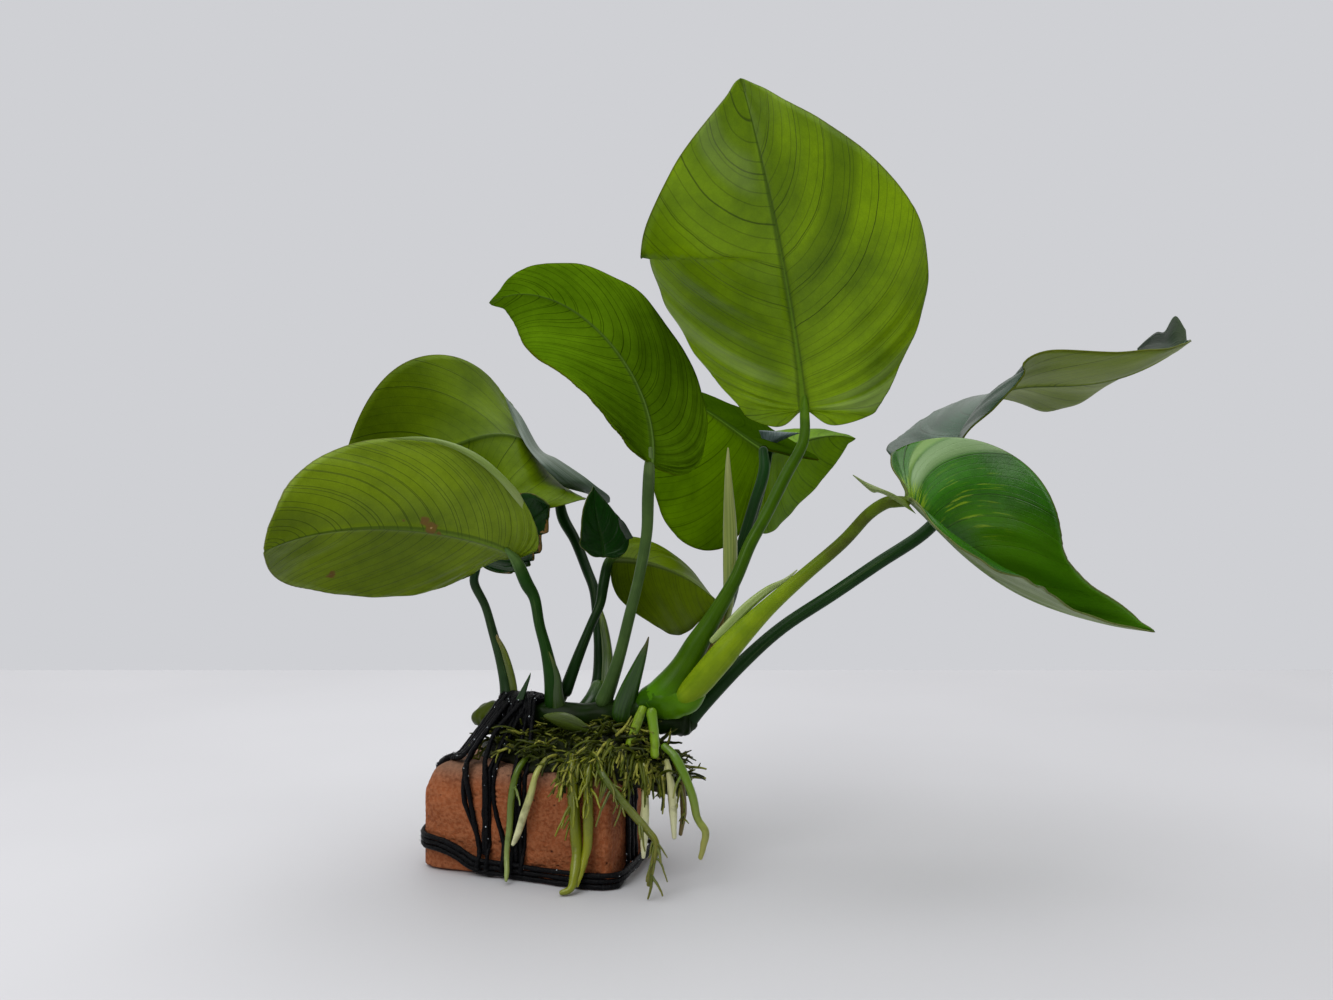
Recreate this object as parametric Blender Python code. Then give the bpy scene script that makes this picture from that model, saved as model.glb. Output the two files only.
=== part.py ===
"""A water plant with heart-shaped leaves, tied with black thread to a block of fired clay.

Metres, +Z up.  The origin is the middle of the block's flat underside, +X runs to the
right and +Y to the back.  Lengths below are in millimetres and are turned to metres by MM.
"""
import math

import bmesh
import bpy
from mathutils import Euler, Matrix, Vector, geometry, noise

MM = 0.001
GAP = 0.35  # clearance between neighbouring solids

# Clay block
BLOCK_LENGTH = 62.0
BLOCK_DEPTH = 38.0
BLOCK_HEIGHT = 33.0
BLOCK_TURN = math.radians(-16.6)  # the right end is nearer the front
BLOCK_WORN_RADIUS = 12.0  # the left end is worn round
BLOCK_EDGE_RADIUS = 3.0
BLOCK_PIT_DEPTH = 0.7

# Thread
THREAD_RADIUS = 0.65
GROOVE_DEPTH = 1.9  # worn into the underside, where the thread passes below
GROOVE_WIDTH = 2.1
BAND_TURNS = 3

# Leaf blades
BLADE_THICKNESS = 0.9
BLADE_ROWS = 11
BLADE_COLUMNS = 8
TIP_POWER = 0.7  # below 1 draws the margin to a point
ROW_START = 0.10  # share of the margin whose veins leave at the base

# Each blade: the four Bezier points of its midrib, base to tip; how far it is rolled about
# the midrib from facing straight back, at base and tip (degrees); the half widths; how far
# the widest place sits towards the base; the depth of the basal lobes; and for each half
# its fold (degrees) and its curl from midrib to margin (degrees) at base, middle and tip.
# The first half is the right one when the upper face is looked at with the tip up.
BLADES = {
    "leaf_tall": {
        "rib": ((85.5, 1, 145), (86, 3, 155), (73, -36, 201), (62, -46, 234.5)),
        "roll": (-15, 25), "half": (45, 48), "wide": -0.1, "lobe": (6, 6),
        "notch": 6, "fold": ((25, 12, 0), (10, 10, 20)), "curl": ((-15, 45, 45), (50, 0, 0)),
    },
    "leaf_middle": {
        "rib": ((36, -39, 126.5), (39, -24, 153), (11.5, -33, 184), (-10, -24, 176.5)),
        "roll": (45, 20), "half": (30, 30), "wide": 0.0, "lobe": (1, 1),
        "notch": 6, "fold": ((-8, -7, 17), (-8, 12, 7)), "curl": ((0, -30, -30), (8, 8, 8)),
    },
    "leaf_front_left": {
        "rib": ((-6.5, -5.5, 98), (-14, -15, 106.5), (-60, -14.5, 113), (-70, -54, 102)),
        "roll": (-35, -45), "half": (29, 28), "wide": -0.1, "lobe": (1.5, 1.5),
        "notch": 6, "fold": ((10, 3, 20), (-5, 23, 0)), "curl": ((30, -12, -12), (-5, 42, 42)),
    },
    "leaf_back_left": {
        "rib": ((0.5, 49, 122), (-12.5, 25, 154), (-30.5, 31.5, 131.5), (-75, 43, 120.5)),
        "roll": (90, -40), "half": (38, 40), "wide": 0.05, "lobe": (4, 4),
        "notch": 6, "fold": ((-20, 20, 2), (10, 0, 3)), "curl": ((-25, 50, 50), (10, -10, -10)),
    },
    "leaf_back": {
        "rib": ((73, 9.5, 133), (66, 43.5, 140), (53, 62.5, 155.5), (30.5, 92, 164)),
        "roll": (-15, -8), "half": (44, 31), "wide": 0.15, "lobe": (5, 0),
        "notch": 6, "fold": ((16, 4, 8), (72, 75, 72)), "curl": ((13, -4, -4), (2, 6, 6)),
    },
    "leaf_back_right": {
        "rib": ((78, 43, 134), (84, 56, 133.5), (99.5, 76, 143.5), (115, 89, 141)),
        "roll": (8, -2), "half": (30, 32), "wide": 0.23, "lobe": (1, 8),
        "notch": 5, "fold": ((70, 73, 70), (13, 21, 0)), "curl": ((0, 2, 2), (-3, 12, 12)),
    },
    "leaf_low": {
        "rib": ((22.5, 13.5, 96), (34, 20.5, 96), (46, 12, 93), (57, -1, 83.5)),
        "roll": (0, -13), "half": (20.5, 23.5), "wide": -0.25, "lobe": (0, 0),
        "notch": 3, "fold": ((40, 70, 78), (15, 30, 40)), "curl": ((10, 26, 26), (9, 15, 15)),
    },
    "leaf_young": {
        "rib": ((20.5, 3, 97.5), (20, 7, 105.5), (18, 3, 105.5), (17, 5.5, 119.5)),
        "roll": (200, 215), "half": (9, 9), "wide": 0.2, "lobe": (1, 1),
        "notch": 2, "fold": ((9, 4, 3), (8, 14, 5)), "curl": ((6, -3, -3), (8, 18, 18)),
    },
    "leaf_drooping": {
        "rib": ((110.5, -42.5, 117), (128.5, -30, 102), (144, -13, 82), (180.5, -37.5, 78)),
        "roll": (145, 165), "half": (31.5, 30.5), "wide": 0.25, "lobe": (7, 7),
        "notch": 6, "fold": ((47, 70, 80), (-30, 48, 33)), "curl": ((-10, 0, 0), (5, 42, 42)),
    },
    "leaf_twisted": {
        "rib": ((136.5, 6, 134), (157.5, 23, 173), (168.5, -6.5, 137), (215.5, 13, 169)),
        "roll": (92, 88), "half": (38, 40), "wide": 0.2, "lobe": (10, 10),
        "notch": 6, "fold": ((23, 5, 5), (23, -5, 19)), "curl": ((-48, 17, 17), (12, -12, -12)),
    },
    "leaf_torn": {
        "rib": ((-21, 5.5, 95.5), (-13, 11, 100.5), (-2, 12, 110.5), (3, 0, 114)),
        "roll": (150, 165), "half": (14, 14.5), "wide": 0.1, "lobe": (0, 0),
        "notch": 3, "fold": ((8, 9, 6), (5, 5, 5)), "curl": ((1, 10, 10), (0, -1, -1)),
    },
}
SMALL_BLADES = ("leaf_low", "leaf_young", "leaf_torn")

# Each stalk: points from the rhizome to just under its blade, with the radius at each.
STALKS = {
    "stalk_tall": (
        (41, -10, 57, 4.0), (46.5, -11, 62, 3.4), (51, -12.5, 70, 2.8), (56, -13.5, 80, 2.3),
        (62.5, -14, 91.5, 2.0), (67, -13, 102, 2.0), (72, -12, 111, 1.9),
        (78.5, -9, 123.5, 1.9), (84.5, -6, 134.5, 1.7), (85.5, -2, 143.5, 1.5),
    ),
    "stalk_middle": (
        (21, -6, 52, 2.8), (23.5, -8, 58.5, 2.3), (26.5, -11, 68, 1.9), (29.5, -15, 80, 1.8),
        (32.5, -20, 92, 1.7), (35, -26, 105.5, 1.7), (35.5, -31, 116.5, 1.8),
        (36, -37.5, 124.5, 1.6),
    ),
    "stalk_front_left": (
        (4.5, -1, 50, 2.8), (4, -3, 59.5, 2.4), (2.5, -4, 68, 1.9), (0.5, -5, 76, 1.7),
        (-1, -5.5, 84.5, 1.8), (-3.5, -6.5, 89.5, 2.1), (-6.5, -8, 95, 1.8),
    ),
    "stalk_back_left": (
        (16, 5, 47.5, 2.8), (18.5, 9, 55.5, 2.4), (18.5, 15, 65.5, 2.0), (17.5, 21, 75.5, 1.9),
        (16, 27, 84.5, 1.8), (13, 32, 91.5, 1.8), (8.5, 38, 101.5, 1.9), (3.5, 43, 110, 2.1),
        (2, 45.5, 118, 1.4),
    ),
    "stalk_torn": (
        (-11, 5.5, 50, 2.7), (-12, 7, 56, 2.1), (-14, 8, 64, 1.7), (-16.5, 8.5, 72.5, 1.5),
        (-19, 8.5, 81, 1.4), (-22.5, 8, 88.5, 1.5), (-22, 7, 93, 1.4),
    ),
    "stalk_low": (
        (8, 3, 53.5, 2.2), (12, 4, 64.5, 1.8), (16, 6, 74.5, 1.5), (19, 8, 81.5, 1.6),
        (20, 9.5, 87.5, 1.8), (21.5, 11, 94.5, 1.6),
    ),
    "stalk_back": (
        (47.5, -3, 54.5, 2.6), (53, 0, 65.5, 2.1), (57.5, 1.5, 75, 1.8),
        (61.5, 2.5, 83.5, 1.8), (65, 3.5, 99, 1.8), (69.5, 5, 114, 1.8), (73, 6, 125, 1.9),
        (73, 7, 131.5, 1.5),
    ),
    "stalk_back_right": (
        (47.5, 2, 53.5, 2.3), (53, 9, 64, 1.9), (58.5, 13, 73.5, 1.6), (63, 16, 83, 1.6),
        (67, 23, 98.5, 1.6), (72, 29, 113, 1.6), (75.5, 35, 124, 1.6), (77.5, 40, 131.5, 1.4),
    ),
    "stalk_drooping": (
        (46, -17, 53, 3.6), (49, -18, 57.5, 4.0), (57, -19, 67, 4.2), (63, -19.5, 74, 3.7),
        (72, -22, 83.5, 2.7), (82, -26, 93, 2.1), (93, -32, 103.5, 1.9),
        (99.5, -37, 111.5, 1.8), (104, -40, 115, 1.8), (107, -41.5, 115.5, 1.7),
        (109.5, -40.5, 114, 1.5),
    ),
    "stalk_twisted": (
        (47, -5, 44.5, 3.0), (52.5, -5, 51, 2.7), (65.5, -3, 64, 2.3), (78.5, -1, 75, 2.1),
        (95, 1, 85.5, 2.1), (110, 2, 95.5, 2.1), (124.5, 2.5, 105, 2.1),
        (132.5, 2.5, 114, 2.0), (135.5, 3, 123, 1.9), (136, 3.5, 130.5, 1.5),
    ),
    "leaf_rolled": (
        (49.5, -5.5, 61, 1.4), (52, -6.5, 65, 1.8), (55.5, -7.5, 70, 2.0), (59, -8.5, 78, 2.2),
        (60.5, -8.5, 85, 2.3), (61, -8, 97, 2.7), (60.5, -7, 116, 1.8), (60.5, -6.5, 127, 1.0),
        (60.5, -6, 132.5, 0.3),
    ),
    "bract_middle": (
        (28, -12, 48, 2.9), (29.5, -12.5, 53, 2.7), (32.5, -13, 62.5, 1.9),
        (35.5, -13, 73, 0.3),
    ),
    "bract_left": (
        (-8.3, -1.5, 48.5, 1.1), (-7.8, -1.5, 54, 1.0), (-4.5, -2, 60, 0.25),
    ),
}

# Rhizome: a creeping stem with a knob at its old left end and the crown at its right.
RHIZOME = (
    (-21, 6, 45.5, 3.0), (-17, 5, 45.5, 5.2), (-9, 3, 46, 4.8), (0, 1, 46.5, 4.6),
    (10, -2, 46.5, 4.7), (20, -5, 47, 5.0), (30, -8, 49, 5.6), (38, -10.5, 51.5, 7.2),
    (44, -12.5, 52, 5.6), (47.5, -13.5, 52, 2.6),
)

# Root mat: a low mound on the block, under the rhizome and past the block's right end, in
# block coordinates (along, across, height).  Right of the thread it reaches further forward.
MAT_MIDDLE = (14.7, 0.0, 35.0)
MAT_SIZE = (37.0, 13.5, 6.2)  # half lengths
MAT_WIDER = 7.0  # how much deeper it is right of the thread
MAT_SAG = 10.0  # how far its right end hangs down past the block

# Roots: points from the mat to the free end, each (along the block, out from its front
# face, height), with the radius at each.
ROOTS = {
    "root_green": ((1.5, 2.2, 31, 1.1), (0, 3.4, 24.5, 1.2), (-0.5, 3.6, 15.5, 1.2),
                   (-1, 4.5, 9, 1.1), (0, 7, 5, 0.9), (0.5, 8.5, 2.5, 0.7)),
    "root_cream": ((7, 2.6, 31.5, 1.1), (5, 3.6, 25, 1.1), (3.5, 3.8, 17, 1.0),
                   (2.5, 3.8, 12, 0.8)),
    "root_cluster_left": ((20, 2.6, 32.5, 1.4), (22, 3.2, 21.5, 1.5), (23.5, 5, 11.5, 1.4),
                          (23.5, 8.5, 5.5, 1.3), (23, 10.5, 2.5, 1.1), (21, 12, 1.2, 0.8)),
    "root_cluster_right": ((26, 2.2, 33, 1.3), (26.5, 2.8, 22, 1.4), (26.8, 2.8, 13, 1.2),
                           (26.5, 3, 8, 0.9)),
    "root_slanting": ((29.5, 2.6, 33, 1.2), (34.5, 3.6, 28.5, 1.3), (39, 4.2, 24, 1.3),
                      (44, 5, 19.5, 1.3), (47, 5.5, 16, 1.1), (46, 6, 10, 0.9), (45, 6.5, 5, 0.7)),
    "root_pale_front": ((40.5, -4, 30, 1.0), (40.5, -4, 21, 1.3), (40, -4, 9.5, 0.8)),
    "root_pale_back": ((47, -8, 33, 1.1), (48, -8, 24, 1.3), (48.5, -8, 14, 0.8)),
    "root_brown": ((48.5, -15, 27, 1.0), (49.5, -15, 21, 1.1), (48.5, -15, 13, 0.7)),
    "root_long": ((49.5, -6, 38.5, 1.3), (54.5, -5, 29.5, 1.2), (56.5, -5, 21.5, 1.2),
                  (59, -5, 17.5, 1.1), (58.5, -5, 13.5, 1.0), (57.5, -5, 10, 0.8)),
    "root_crown_left": ((38, -9.5, 51, 1.4), (36, -8.5, 46.5, 1.4), (34.5, -7, 42, 1.2)),
    "root_crown_right": ((41, -9, 50.5, 1.5), (42, -8.5, 44.5, 1.4), (42.5, -7.5, 39.5, 1.2)),
}

# The thread is one piece.  It starts at the right end, winds low round the block, climbs
# the worn left end and winds over the rhizome, each time passing below the block.  All
# places are in block coordinates.
THREAD_START = ((32.0, -9.5, 23.0), (32.0, -10.0, 12.0), (32.1, -11.0, 3.0), (32.1, -13.5, 0.9))
THREAD_TURN = (  # one turn seen from above, from the right end to the front, with its lift
    (34.5, -12, 0), (33.5, -20, 0), (27, -23.5, 0), (15, -23, 0), (4, -22, 0), (-7, -21.7, 0.5),
    (-17, -21.7, 4.5), (-26, -20, 7.5), (-31.5, -14, 8.5), (-33.7, -4, 8.5), (-33.6, 7, 8),
    (-30, 16.5, 7), (-22, 21.5, 5.5), (-8, 21.7, 2), (10, 21.7, 0.3), (27, 21.7, 0),
    (33, 19.5, 0), (34, 12, 0), (34.2, 0, 0),
)
THREAD_PITCH = 1.65  # between neighbouring strands
THREAD_CLIMB = ((-33.4, -2, 16.0), (-32.2, -2.5, 21.5), (-29.8, -3.5, 28.0), (-25.5, -4.5, 33.0),
                (-21.5, -6.0, 37.5))
# Each wrap: its place along the block where it goes over the rhizome, down the back, and
# then, for the next wrap, up the front at the bottom and at the top.
WRAPS = (
    (-19.4, -16.0, -11.6, -16.8),
    (-17.7, -12.0, -8.4, -8.4),
    (-4.9, -9.0, -3.4, -6.8),
    (-3.3, -6.0, -0.4, -0.4),
    (-1.7, 6.0, 3.4, 3.4),
    (-0.1, 12.0, None, None),
)
WRAP_RADIUS = 6.4  # round the rhizome's axis
WRAP_HEIGHT = 46.2  # of that axis

COLOURS = {
    "clay": ((0.33, 0.12, 0.065, 1), 0.85),
    "leaf": ((0.09, 0.22, 0.015, 1), 0.4),
    "stalk": ((0.03, 0.08, 0.02, 1), 0.35),
    "stem": ((0.03, 0.07, 0.01, 1), 0.4),
    "rolled leaf": ((0.35, 0.42, 0.12, 1), 0.4),
    "root": ((0.22, 0.30, 0.02, 1), 0.4),
    "root mat": ((0.05, 0.08, 0.01, 1), 0.8),
    "thread": ((0.008, 0.008, 0.012, 1), 0.6),
}


def clear_scene():
    for old in list(bpy.data.objects):
        bpy.data.objects.remove(old, do_unlink=True)


def material(name):
    made = bpy.data.materials.get(name)
    if made:
        return made
    colour, roughness = COLOURS[name]
    made = bpy.data.materials.new(name)
    made.use_nodes = True
    shader = made.node_tree.nodes["Principled BSDF"]
    shader.inputs["Base Color"].default_value = colour
    shader.inputs["Roughness"].default_value = roughness
    return made


def add_object(name, mesh, finish):
    made = bpy.data.objects.new(name, mesh)
    bpy.context.collection.objects.link(made)
    made.data.materials.append(material(finish))
    return made


def mesh_from(shape, name):
    bmesh.ops.recalc_face_normals(shape, faces=shape.faces)
    mesh = bpy.data.meshes.new(name)
    shape.to_mesh(mesh)
    shape.free()
    mesh.shade_smooth()
    return mesh


# ---- Leaf blades -------------------------------------------------------------------------

def smooth_step(x):
    return x * x * (3 - 2 * x)


def at_station(values, y):
    """The value at y along a blade, from its base, middle and tip values."""
    base, middle, tip = values
    return (base * 2 * (y - 0.5) * (y - 1) + middle * 4 * y * (1 - y)
            + tip * 2 * y * (y - 0.5))


class Blade:
    """The surface of one leaf: a heart-shaped outline laid on a curved, folded sheet."""

    def __init__(self, shape):
        self.shape = shape
        knots = [Vector(p) for p in shape["rib"]]
        self.line = geometry.interpolate_bezier(*knots, 65)
        self.reach = [0.0]
        for a, b in zip(self.line, self.line[1:]):
            self.reach.append(self.reach[-1] + (b - a).length)
        self.length = self.reach[-1]

    def rib_at(self, y):
        """Place and direction of the midrib at y, the share of its length."""
        wanted = y * self.length
        i = 1
        while i < len(self.reach) - 1 and self.reach[i] < wanted:
            i += 1
        a, b = self.line[i - 1], self.line[i]
        share = (wanted - self.reach[i - 1]) / (self.reach[i] - self.reach[i - 1])
        return a.lerp(b, share), (b - a).normalized()

    def point(self, side, x, y):
        """The place x mm from the midrib on one side (+1 right), y along the length."""
        shape = self.shape
        inside = min(max(y, 0.0), 1.0)
        place, ahead = self.rib_at(inside)
        place = place + ahead * (y - inside) * self.length
        back = Vector((0, 1, 0))
        face = (back - ahead * ahead.dot(back)).normalized()
        turn = smooth_step(inside)
        roll = math.radians(shape["roll"][0] * (1 - turn) + shape["roll"][1] * turn)
        face = face * math.cos(roll) + ahead.cross(face) * math.sin(roll)
        across = ahead.cross(face)
        half = 0 if side > 0 else 1
        fold = math.radians(at_station(shape["fold"][half], inside))
        curl = math.radians(at_station(shape["curl"][half], inside))
        steps = 12
        out = 0.0
        rise = 0.0
        for i in range(steps):
            lean = fold + curl * x * (i + 0.5) / steps / shape["half"][half]
            out += math.cos(lean) * x / steps
            rise += math.sin(lean) * x / steps
        return place + across * side * out + face * rise

    def margin(self, side, s):
        """Outline point at s, from the base (0) round to the tip (1)."""
        shape = self.shape
        angle = math.pi * s
        half = shape["half"][0 if side > 0 else 1]
        x = half * math.sin(angle) * (1 + shape["wide"] * math.cos(angle))
        share = (1 - math.cos(angle)) / 2
        lobe = shape["lobe"][0 if side > 0 else 1] / self.length
        y = -lobe + (1 + lobe) * (1 - (1 - share) ** TIP_POWER)
        if s < 0.5:
            y += lobe * math.exp(-(x / shape["notch"]) ** 2)
        return x, y

    def vein_point(self, side, u, s):
        """A point on the side vein that ends at s on the margin, u of the way out."""
        x, y = self.margin(side, s)
        start = max(0.0, (s - ROW_START) / (1 - ROW_START)) ** 1.15
        bend_x = x * 0.5
        bend_y = start + 0.25 * (y - start)
        px = 2 * u * (1 - u) * bend_x + u * u * x
        py = (1 - u) ** 2 * start + 2 * u * (1 - u) * bend_y + u * u * y
        return self.point(side, px, py)


def make_blade(name, shape):
    blade = Blade(shape)
    columns = BLADE_COLUMNS - (2 if name in SMALL_BLADES else 0)
    rows = BLADE_ROWS - (3 if name in SMALL_BLADES else 0)
    sheet = bmesh.new()
    bmesh.ops.create_grid(sheet, x_segments=columns, y_segments=rows, size=1)
    for vertex in sheet.verts:
        u = vertex.co.x
        s = (vertex.co.y + 1) / 2
        vertex.co = blade.vein_point(1 if u >= 0 else -1, abs(u), s) * MM
    bmesh.ops.remove_doubles(sheet, verts=sheet.verts, dist=0.2 * MM)
    mesh = mesh_from(sheet, name)
    made = add_object(name, mesh, "leaf")
    shell = made.modifiers.new("thickness", "SOLIDIFY")
    shell.thickness = BLADE_THICKNESS * MM
    shell.offset = 0
    return made


# ---- Round pieces along a path -----------------------------------------------------------

def smooth_path(points, steps, reach):
    """Points and radii on a smooth curve through the given (x, y, z, radius) rows."""
    rows = [Vector(p) for p in points]
    for end, inner in ((0, 1), (-1, -2)):
        outwards = (rows[end] - rows[inner]).xyz.normalized() * reach
        rows[end] = rows[end] + Vector((*outwards, 0))
    ends = [rows[0] * 2 - rows[1]] + rows + [rows[-1] * 2 - rows[-2]]
    path = []
    for i in range(1, len(ends) - 2):
        before, a, b, after = ends[i - 1:i + 3]
        for k in range(steps):
            t = k / steps
            path.append(0.5 * ((2 * a) + (b - before) * t
                               + (2 * before - 5 * a + 4 * b - after) * t * t
                               + (3 * a - before - 3 * b + after) * t ** 3))
    path.append(rows[-1])
    return path


def tube_mesh(name, points, steps=1, sides=8, grow=0.0):
    """A tube of varying radius through the points, with closed ends; grow adds clearance."""
    path = smooth_path(points, steps, grow)
    curve = bpy.data.curves.new(name, "CURVE")
    curve.dimensions = "3D"
    curve.bevel_depth = MM
    curve.bevel_resolution = sides // 2 - 2
    curve.use_fill_caps = True
    spline = curve.splines.new("POLY")
    spline.points.add(len(path) - 1)
    for knot, row in zip(spline.points, path):
        knot.co = (row[0] * MM, row[1] * MM, row[2] * MM, 1)
        knot.radius = row[3] + grow
    carrier = bpy.data.objects.new(name + "_path", curve)
    bpy.context.collection.objects.link(carrier)
    drawn = carrier.evaluated_get(bpy.context.evaluated_depsgraph_get())
    mesh = bpy.data.meshes.new_from_object(drawn)
    bpy.data.objects.remove(carrier, do_unlink=True)
    shape = bmesh.new()
    shape.from_mesh(mesh)
    bpy.data.meshes.remove(mesh)
    bmesh.ops.remove_doubles(shape, verts=shape.verts, dist=0.01 * MM)
    return mesh_from(shape, name)


def make_cutter(name, mesh):
    made = bpy.data.objects.new(name, mesh)
    bpy.context.collection.objects.link(made)
    made.hide_render = True
    made.display_type = "WIRE"
    return made


def cut_away(piece, cutter):
    cut = piece.modifiers.new("clear of " + cutter.name, "BOOLEAN")
    cut.operation = "DIFFERENCE"
    cut.solver = "EXACT"
    cut.object = cutter


# ---- Clay block --------------------------------------------------------------------------

def on_block(along, across, height):
    """A place given along the block's length, across its depth and above its underside."""
    return Matrix.Rotation(BLOCK_TURN, 3, "Z") @ Vector((along, across, height))


def rounded(place, half, radius):
    """Pull a place on a box's skin in, so that the box's edges have the radius."""
    inner = Vector([max(-h + r, min(h - r, p)) for p, h, r in zip(place, half, radius)])
    offset = place - inner
    scaled = Vector([o / r if r else 0 for o, r in zip(offset, radius)])
    if scaled.length > 1e-6:
        scaled = scaled / max(scaled.length, 1.0)
    return inner + Vector([s * r for s, r in zip(scaled, radius)])


def make_block():
    half = Vector((BLOCK_LENGTH, BLOCK_DEPTH, BLOCK_HEIGHT)) / 2
    shape = bmesh.new()
    bmesh.ops.create_cube(shape, size=2)
    bmesh.ops.subdivide_edges(shape, edges=shape.edges, cuts=7, use_grid_fill=True)
    for vertex in shape.verts:
        spread = Vector([math.copysign(abs(c) ** 0.8, c) for c in vertex.co])
        place = Vector([c * h for c, h in zip(spread, half)])
        worn = max(0.0, -vertex.co.x)
        edge = BLOCK_EDGE_RADIUS + (BLOCK_WORN_RADIUS - BLOCK_EDGE_RADIUS) * min(1, worn * 1.6)
        upper = edge * 1.2 if place.z > 0 else 1.0
        moved = rounded(place, half, Vector((edge, edge, upper)))
        if moved.z > -half.z + 1.0:
            dent = noise.noise(moved * 0.16) * BLOCK_PIT_DEPTH
            moved += (moved - place * 0.7).normalized() * min(dent, 0.0)
        vertex.co = on_block(moved.x, moved.y, moved.z + half.z) * MM
    block = add_object("clay_block", mesh_from(shape, "clay_block"), "clay")
    for i, wrap in enumerate(WRAPS[:-1]):
        slot = bmesh.new()
        bmesh.ops.create_cube(slot, size=1)
        for vertex in slot.verts:
            middle = wrap[1] if vertex.co.y > 0 else wrap[2]
            along = middle + vertex.co.x * GROOVE_WIDTH
            across = vertex.co.y * (BLOCK_DEPTH + 2)
            height = GROOVE_DEPTH if vertex.co.z > 0 else -2.0
            vertex.co = on_block(along, across, height) * MM
        cut_away(block, make_cutter("thread_groove_%d" % (i + 1), mesh_from(slot, "groove")))
    return block


# ---- Thread ------------------------------------------------------------------------------

def thread_route():
    """The thread's points in block coordinates, from one end to the other."""
    route = list(THREAD_START)
    stations = len(THREAD_TURN)
    for turn in range(BAND_TURNS):
        for i, (along, across, lift) in enumerate(THREAD_TURN):
            if turn == 0 and i == 0:
                continue
            if turn == BAND_TURNS - 1 and along < -33 and across < 0:
                break
            level = THREAD_RADIUS + 0.15 + THREAD_PITCH * (turn + i / stations) + lift
            route.append((along, across, level))
    route += THREAD_CLIMB
    face = BLOCK_DEPTH / 2 + THREAD_RADIUS + GAP
    top = BLOCK_HEIGHT + THREAD_RADIUS + GAP
    below = THREAD_RADIUS + 0.35
    for over, back, next_bottom, next_top in WRAPS:
        for degrees in (141, 115, 90, 65, 39):
            angle = math.radians(degrees)
            route.append((over, WRAP_RADIUS * math.cos(angle),
                          WRAP_HEIGHT + WRAP_RADIUS * math.sin(angle)))
        slope = back - over
        route.append((over + slope * 0.2, face - 2.7, top + 0.5))
        if next_bottom is None:
            break
        route += [
            (over + slope * 0.3, face - 0.3, top - 3), (over + slope * 0.5, face, 22),
            (back, face, 10), (back, face, below), (next_bottom, -face, below),
            (next_bottom, -face, 10), (next_top, -face, 22), (next_top, 0.3 - face, top - 3),
            (next_top, 2.7 - face, top + 0.5),
        ]
    return route


def make_thread():
    points = [(*on_block(*place), THREAD_RADIUS) for place in thread_route()]
    return add_object("thread", tube_mesh("thread", points, sides=6), "thread")


# ---- Plant -------------------------------------------------------------------------------

def mat_mesh(name, grow=0.0):
    shape = bmesh.new()
    bmesh.ops.create_uvsphere(shape, u_segments=24, v_segments=10, radius=1)
    for vertex in shape.verts:
        place = Vector([c * (s + grow) for c, s in zip(vertex.co, MAT_SIZE)])
        wider = smooth_step(min(max((place.x + 8) / 10, 0.0), 1.0))
        if place.y < 0:
            place.y *= 1 + MAT_WIDER / MAT_SIZE[1] * wider
        past = max(0.0, place.x - 14.0) / 23.0
        place.z -= MAT_SAG * past * past
        place *= 1 + 0.08 * noise.noise(vertex.co * 2.4)
        vertex.co = on_block(*(place + Vector(MAT_MIDDLE))) * MM
    return mesh_from(shape, name)


def make_mat(block_cutter, rhizome_cutter):
    mat = add_object("root_mat", mat_mesh("root_mat"), "root mat")
    cut_away(mat, block_cutter)
    cut_away(mat, rhizome_cutter)
    return mat


def make_lens_bract():
    """A flat, lens-shaped old scale that lies against the front of the rhizome."""
    shape = bmesh.new()
    bmesh.ops.create_uvsphere(shape, u_segments=12, v_segments=6, radius=1)
    turn = Euler((math.radians(20), math.radians(14), math.radians(-14))).to_matrix()
    for vertex in shape.verts:
        place = Vector((vertex.co.x * 8.2, vertex.co.y * 0.9, vertex.co.z * 3.4))
        place.z *= 1 - 0.45 * (place.x / 8.2) ** 2
        vertex.co = (turn @ place + Vector((11.5, -9.6, 44.5))) * MM
    return add_object("bract_flat", mesh_from(shape, "bract_flat"), "stalk")


def make_plant():
    add_object("rhizome", tube_mesh("rhizome", RHIZOME, steps=2, sides=12), "stem")
    rhizome_cutter = make_cutter(
        "rhizome_clearance", tube_mesh("rhizome_clearance", RHIZOME, steps=2, sides=12, grow=GAP))
    block_box = bmesh.new()
    bmesh.ops.create_cube(block_box, size=1)
    for vertex in block_box.verts:
        across = vertex.co.y * (BLOCK_DEPTH + 2 * GAP)
        along = vertex.co.x * (BLOCK_LENGTH + 2 * GAP)
        height = BLOCK_HEIGHT + GAP if vertex.co.z > 0 else -5.0
        vertex.co = on_block(along, across, height) * MM
    block_cutter = make_cutter("block_clearance", mesh_from(block_box, "block_clearance"))
    make_mat(block_cutter, rhizome_cutter)
    for name, shape in BLADES.items():
        make_blade(name, shape)
    for name, points in STALKS.items():
        finish = "rolled leaf" if name == "leaf_rolled" else "stalk"
        piece = add_object(name, tube_mesh(name, points, sides=8), finish)
        cut_away(piece, rhizome_cutter)
    mat_cutter = make_cutter("mat_clearance", mat_mesh("mat_clearance", grow=2 * GAP))
    for name, points in ROOTS.items():
        placed = [(*on_block(along, -BLOCK_DEPTH / 2 - out, height), radius)
                  for along, out, height, radius in points]
        root = add_object(name, tube_mesh(name, placed, sides=6), "root")
        cut_away(root, mat_cutter)
        cut_away(root, rhizome_cutter)
    cut_away(make_lens_bract(), mat_cutter)


def main():
    clear_scene()
    make_block()
    make_plant()
    make_thread()


main()
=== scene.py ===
import random
from functools import partial
from math import copysign, cos, exp, hypot, pi, radians, sin, sqrt

import bmesh
import bpy
from mathutils import Euler, Matrix, Vector, geometry, noise


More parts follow.
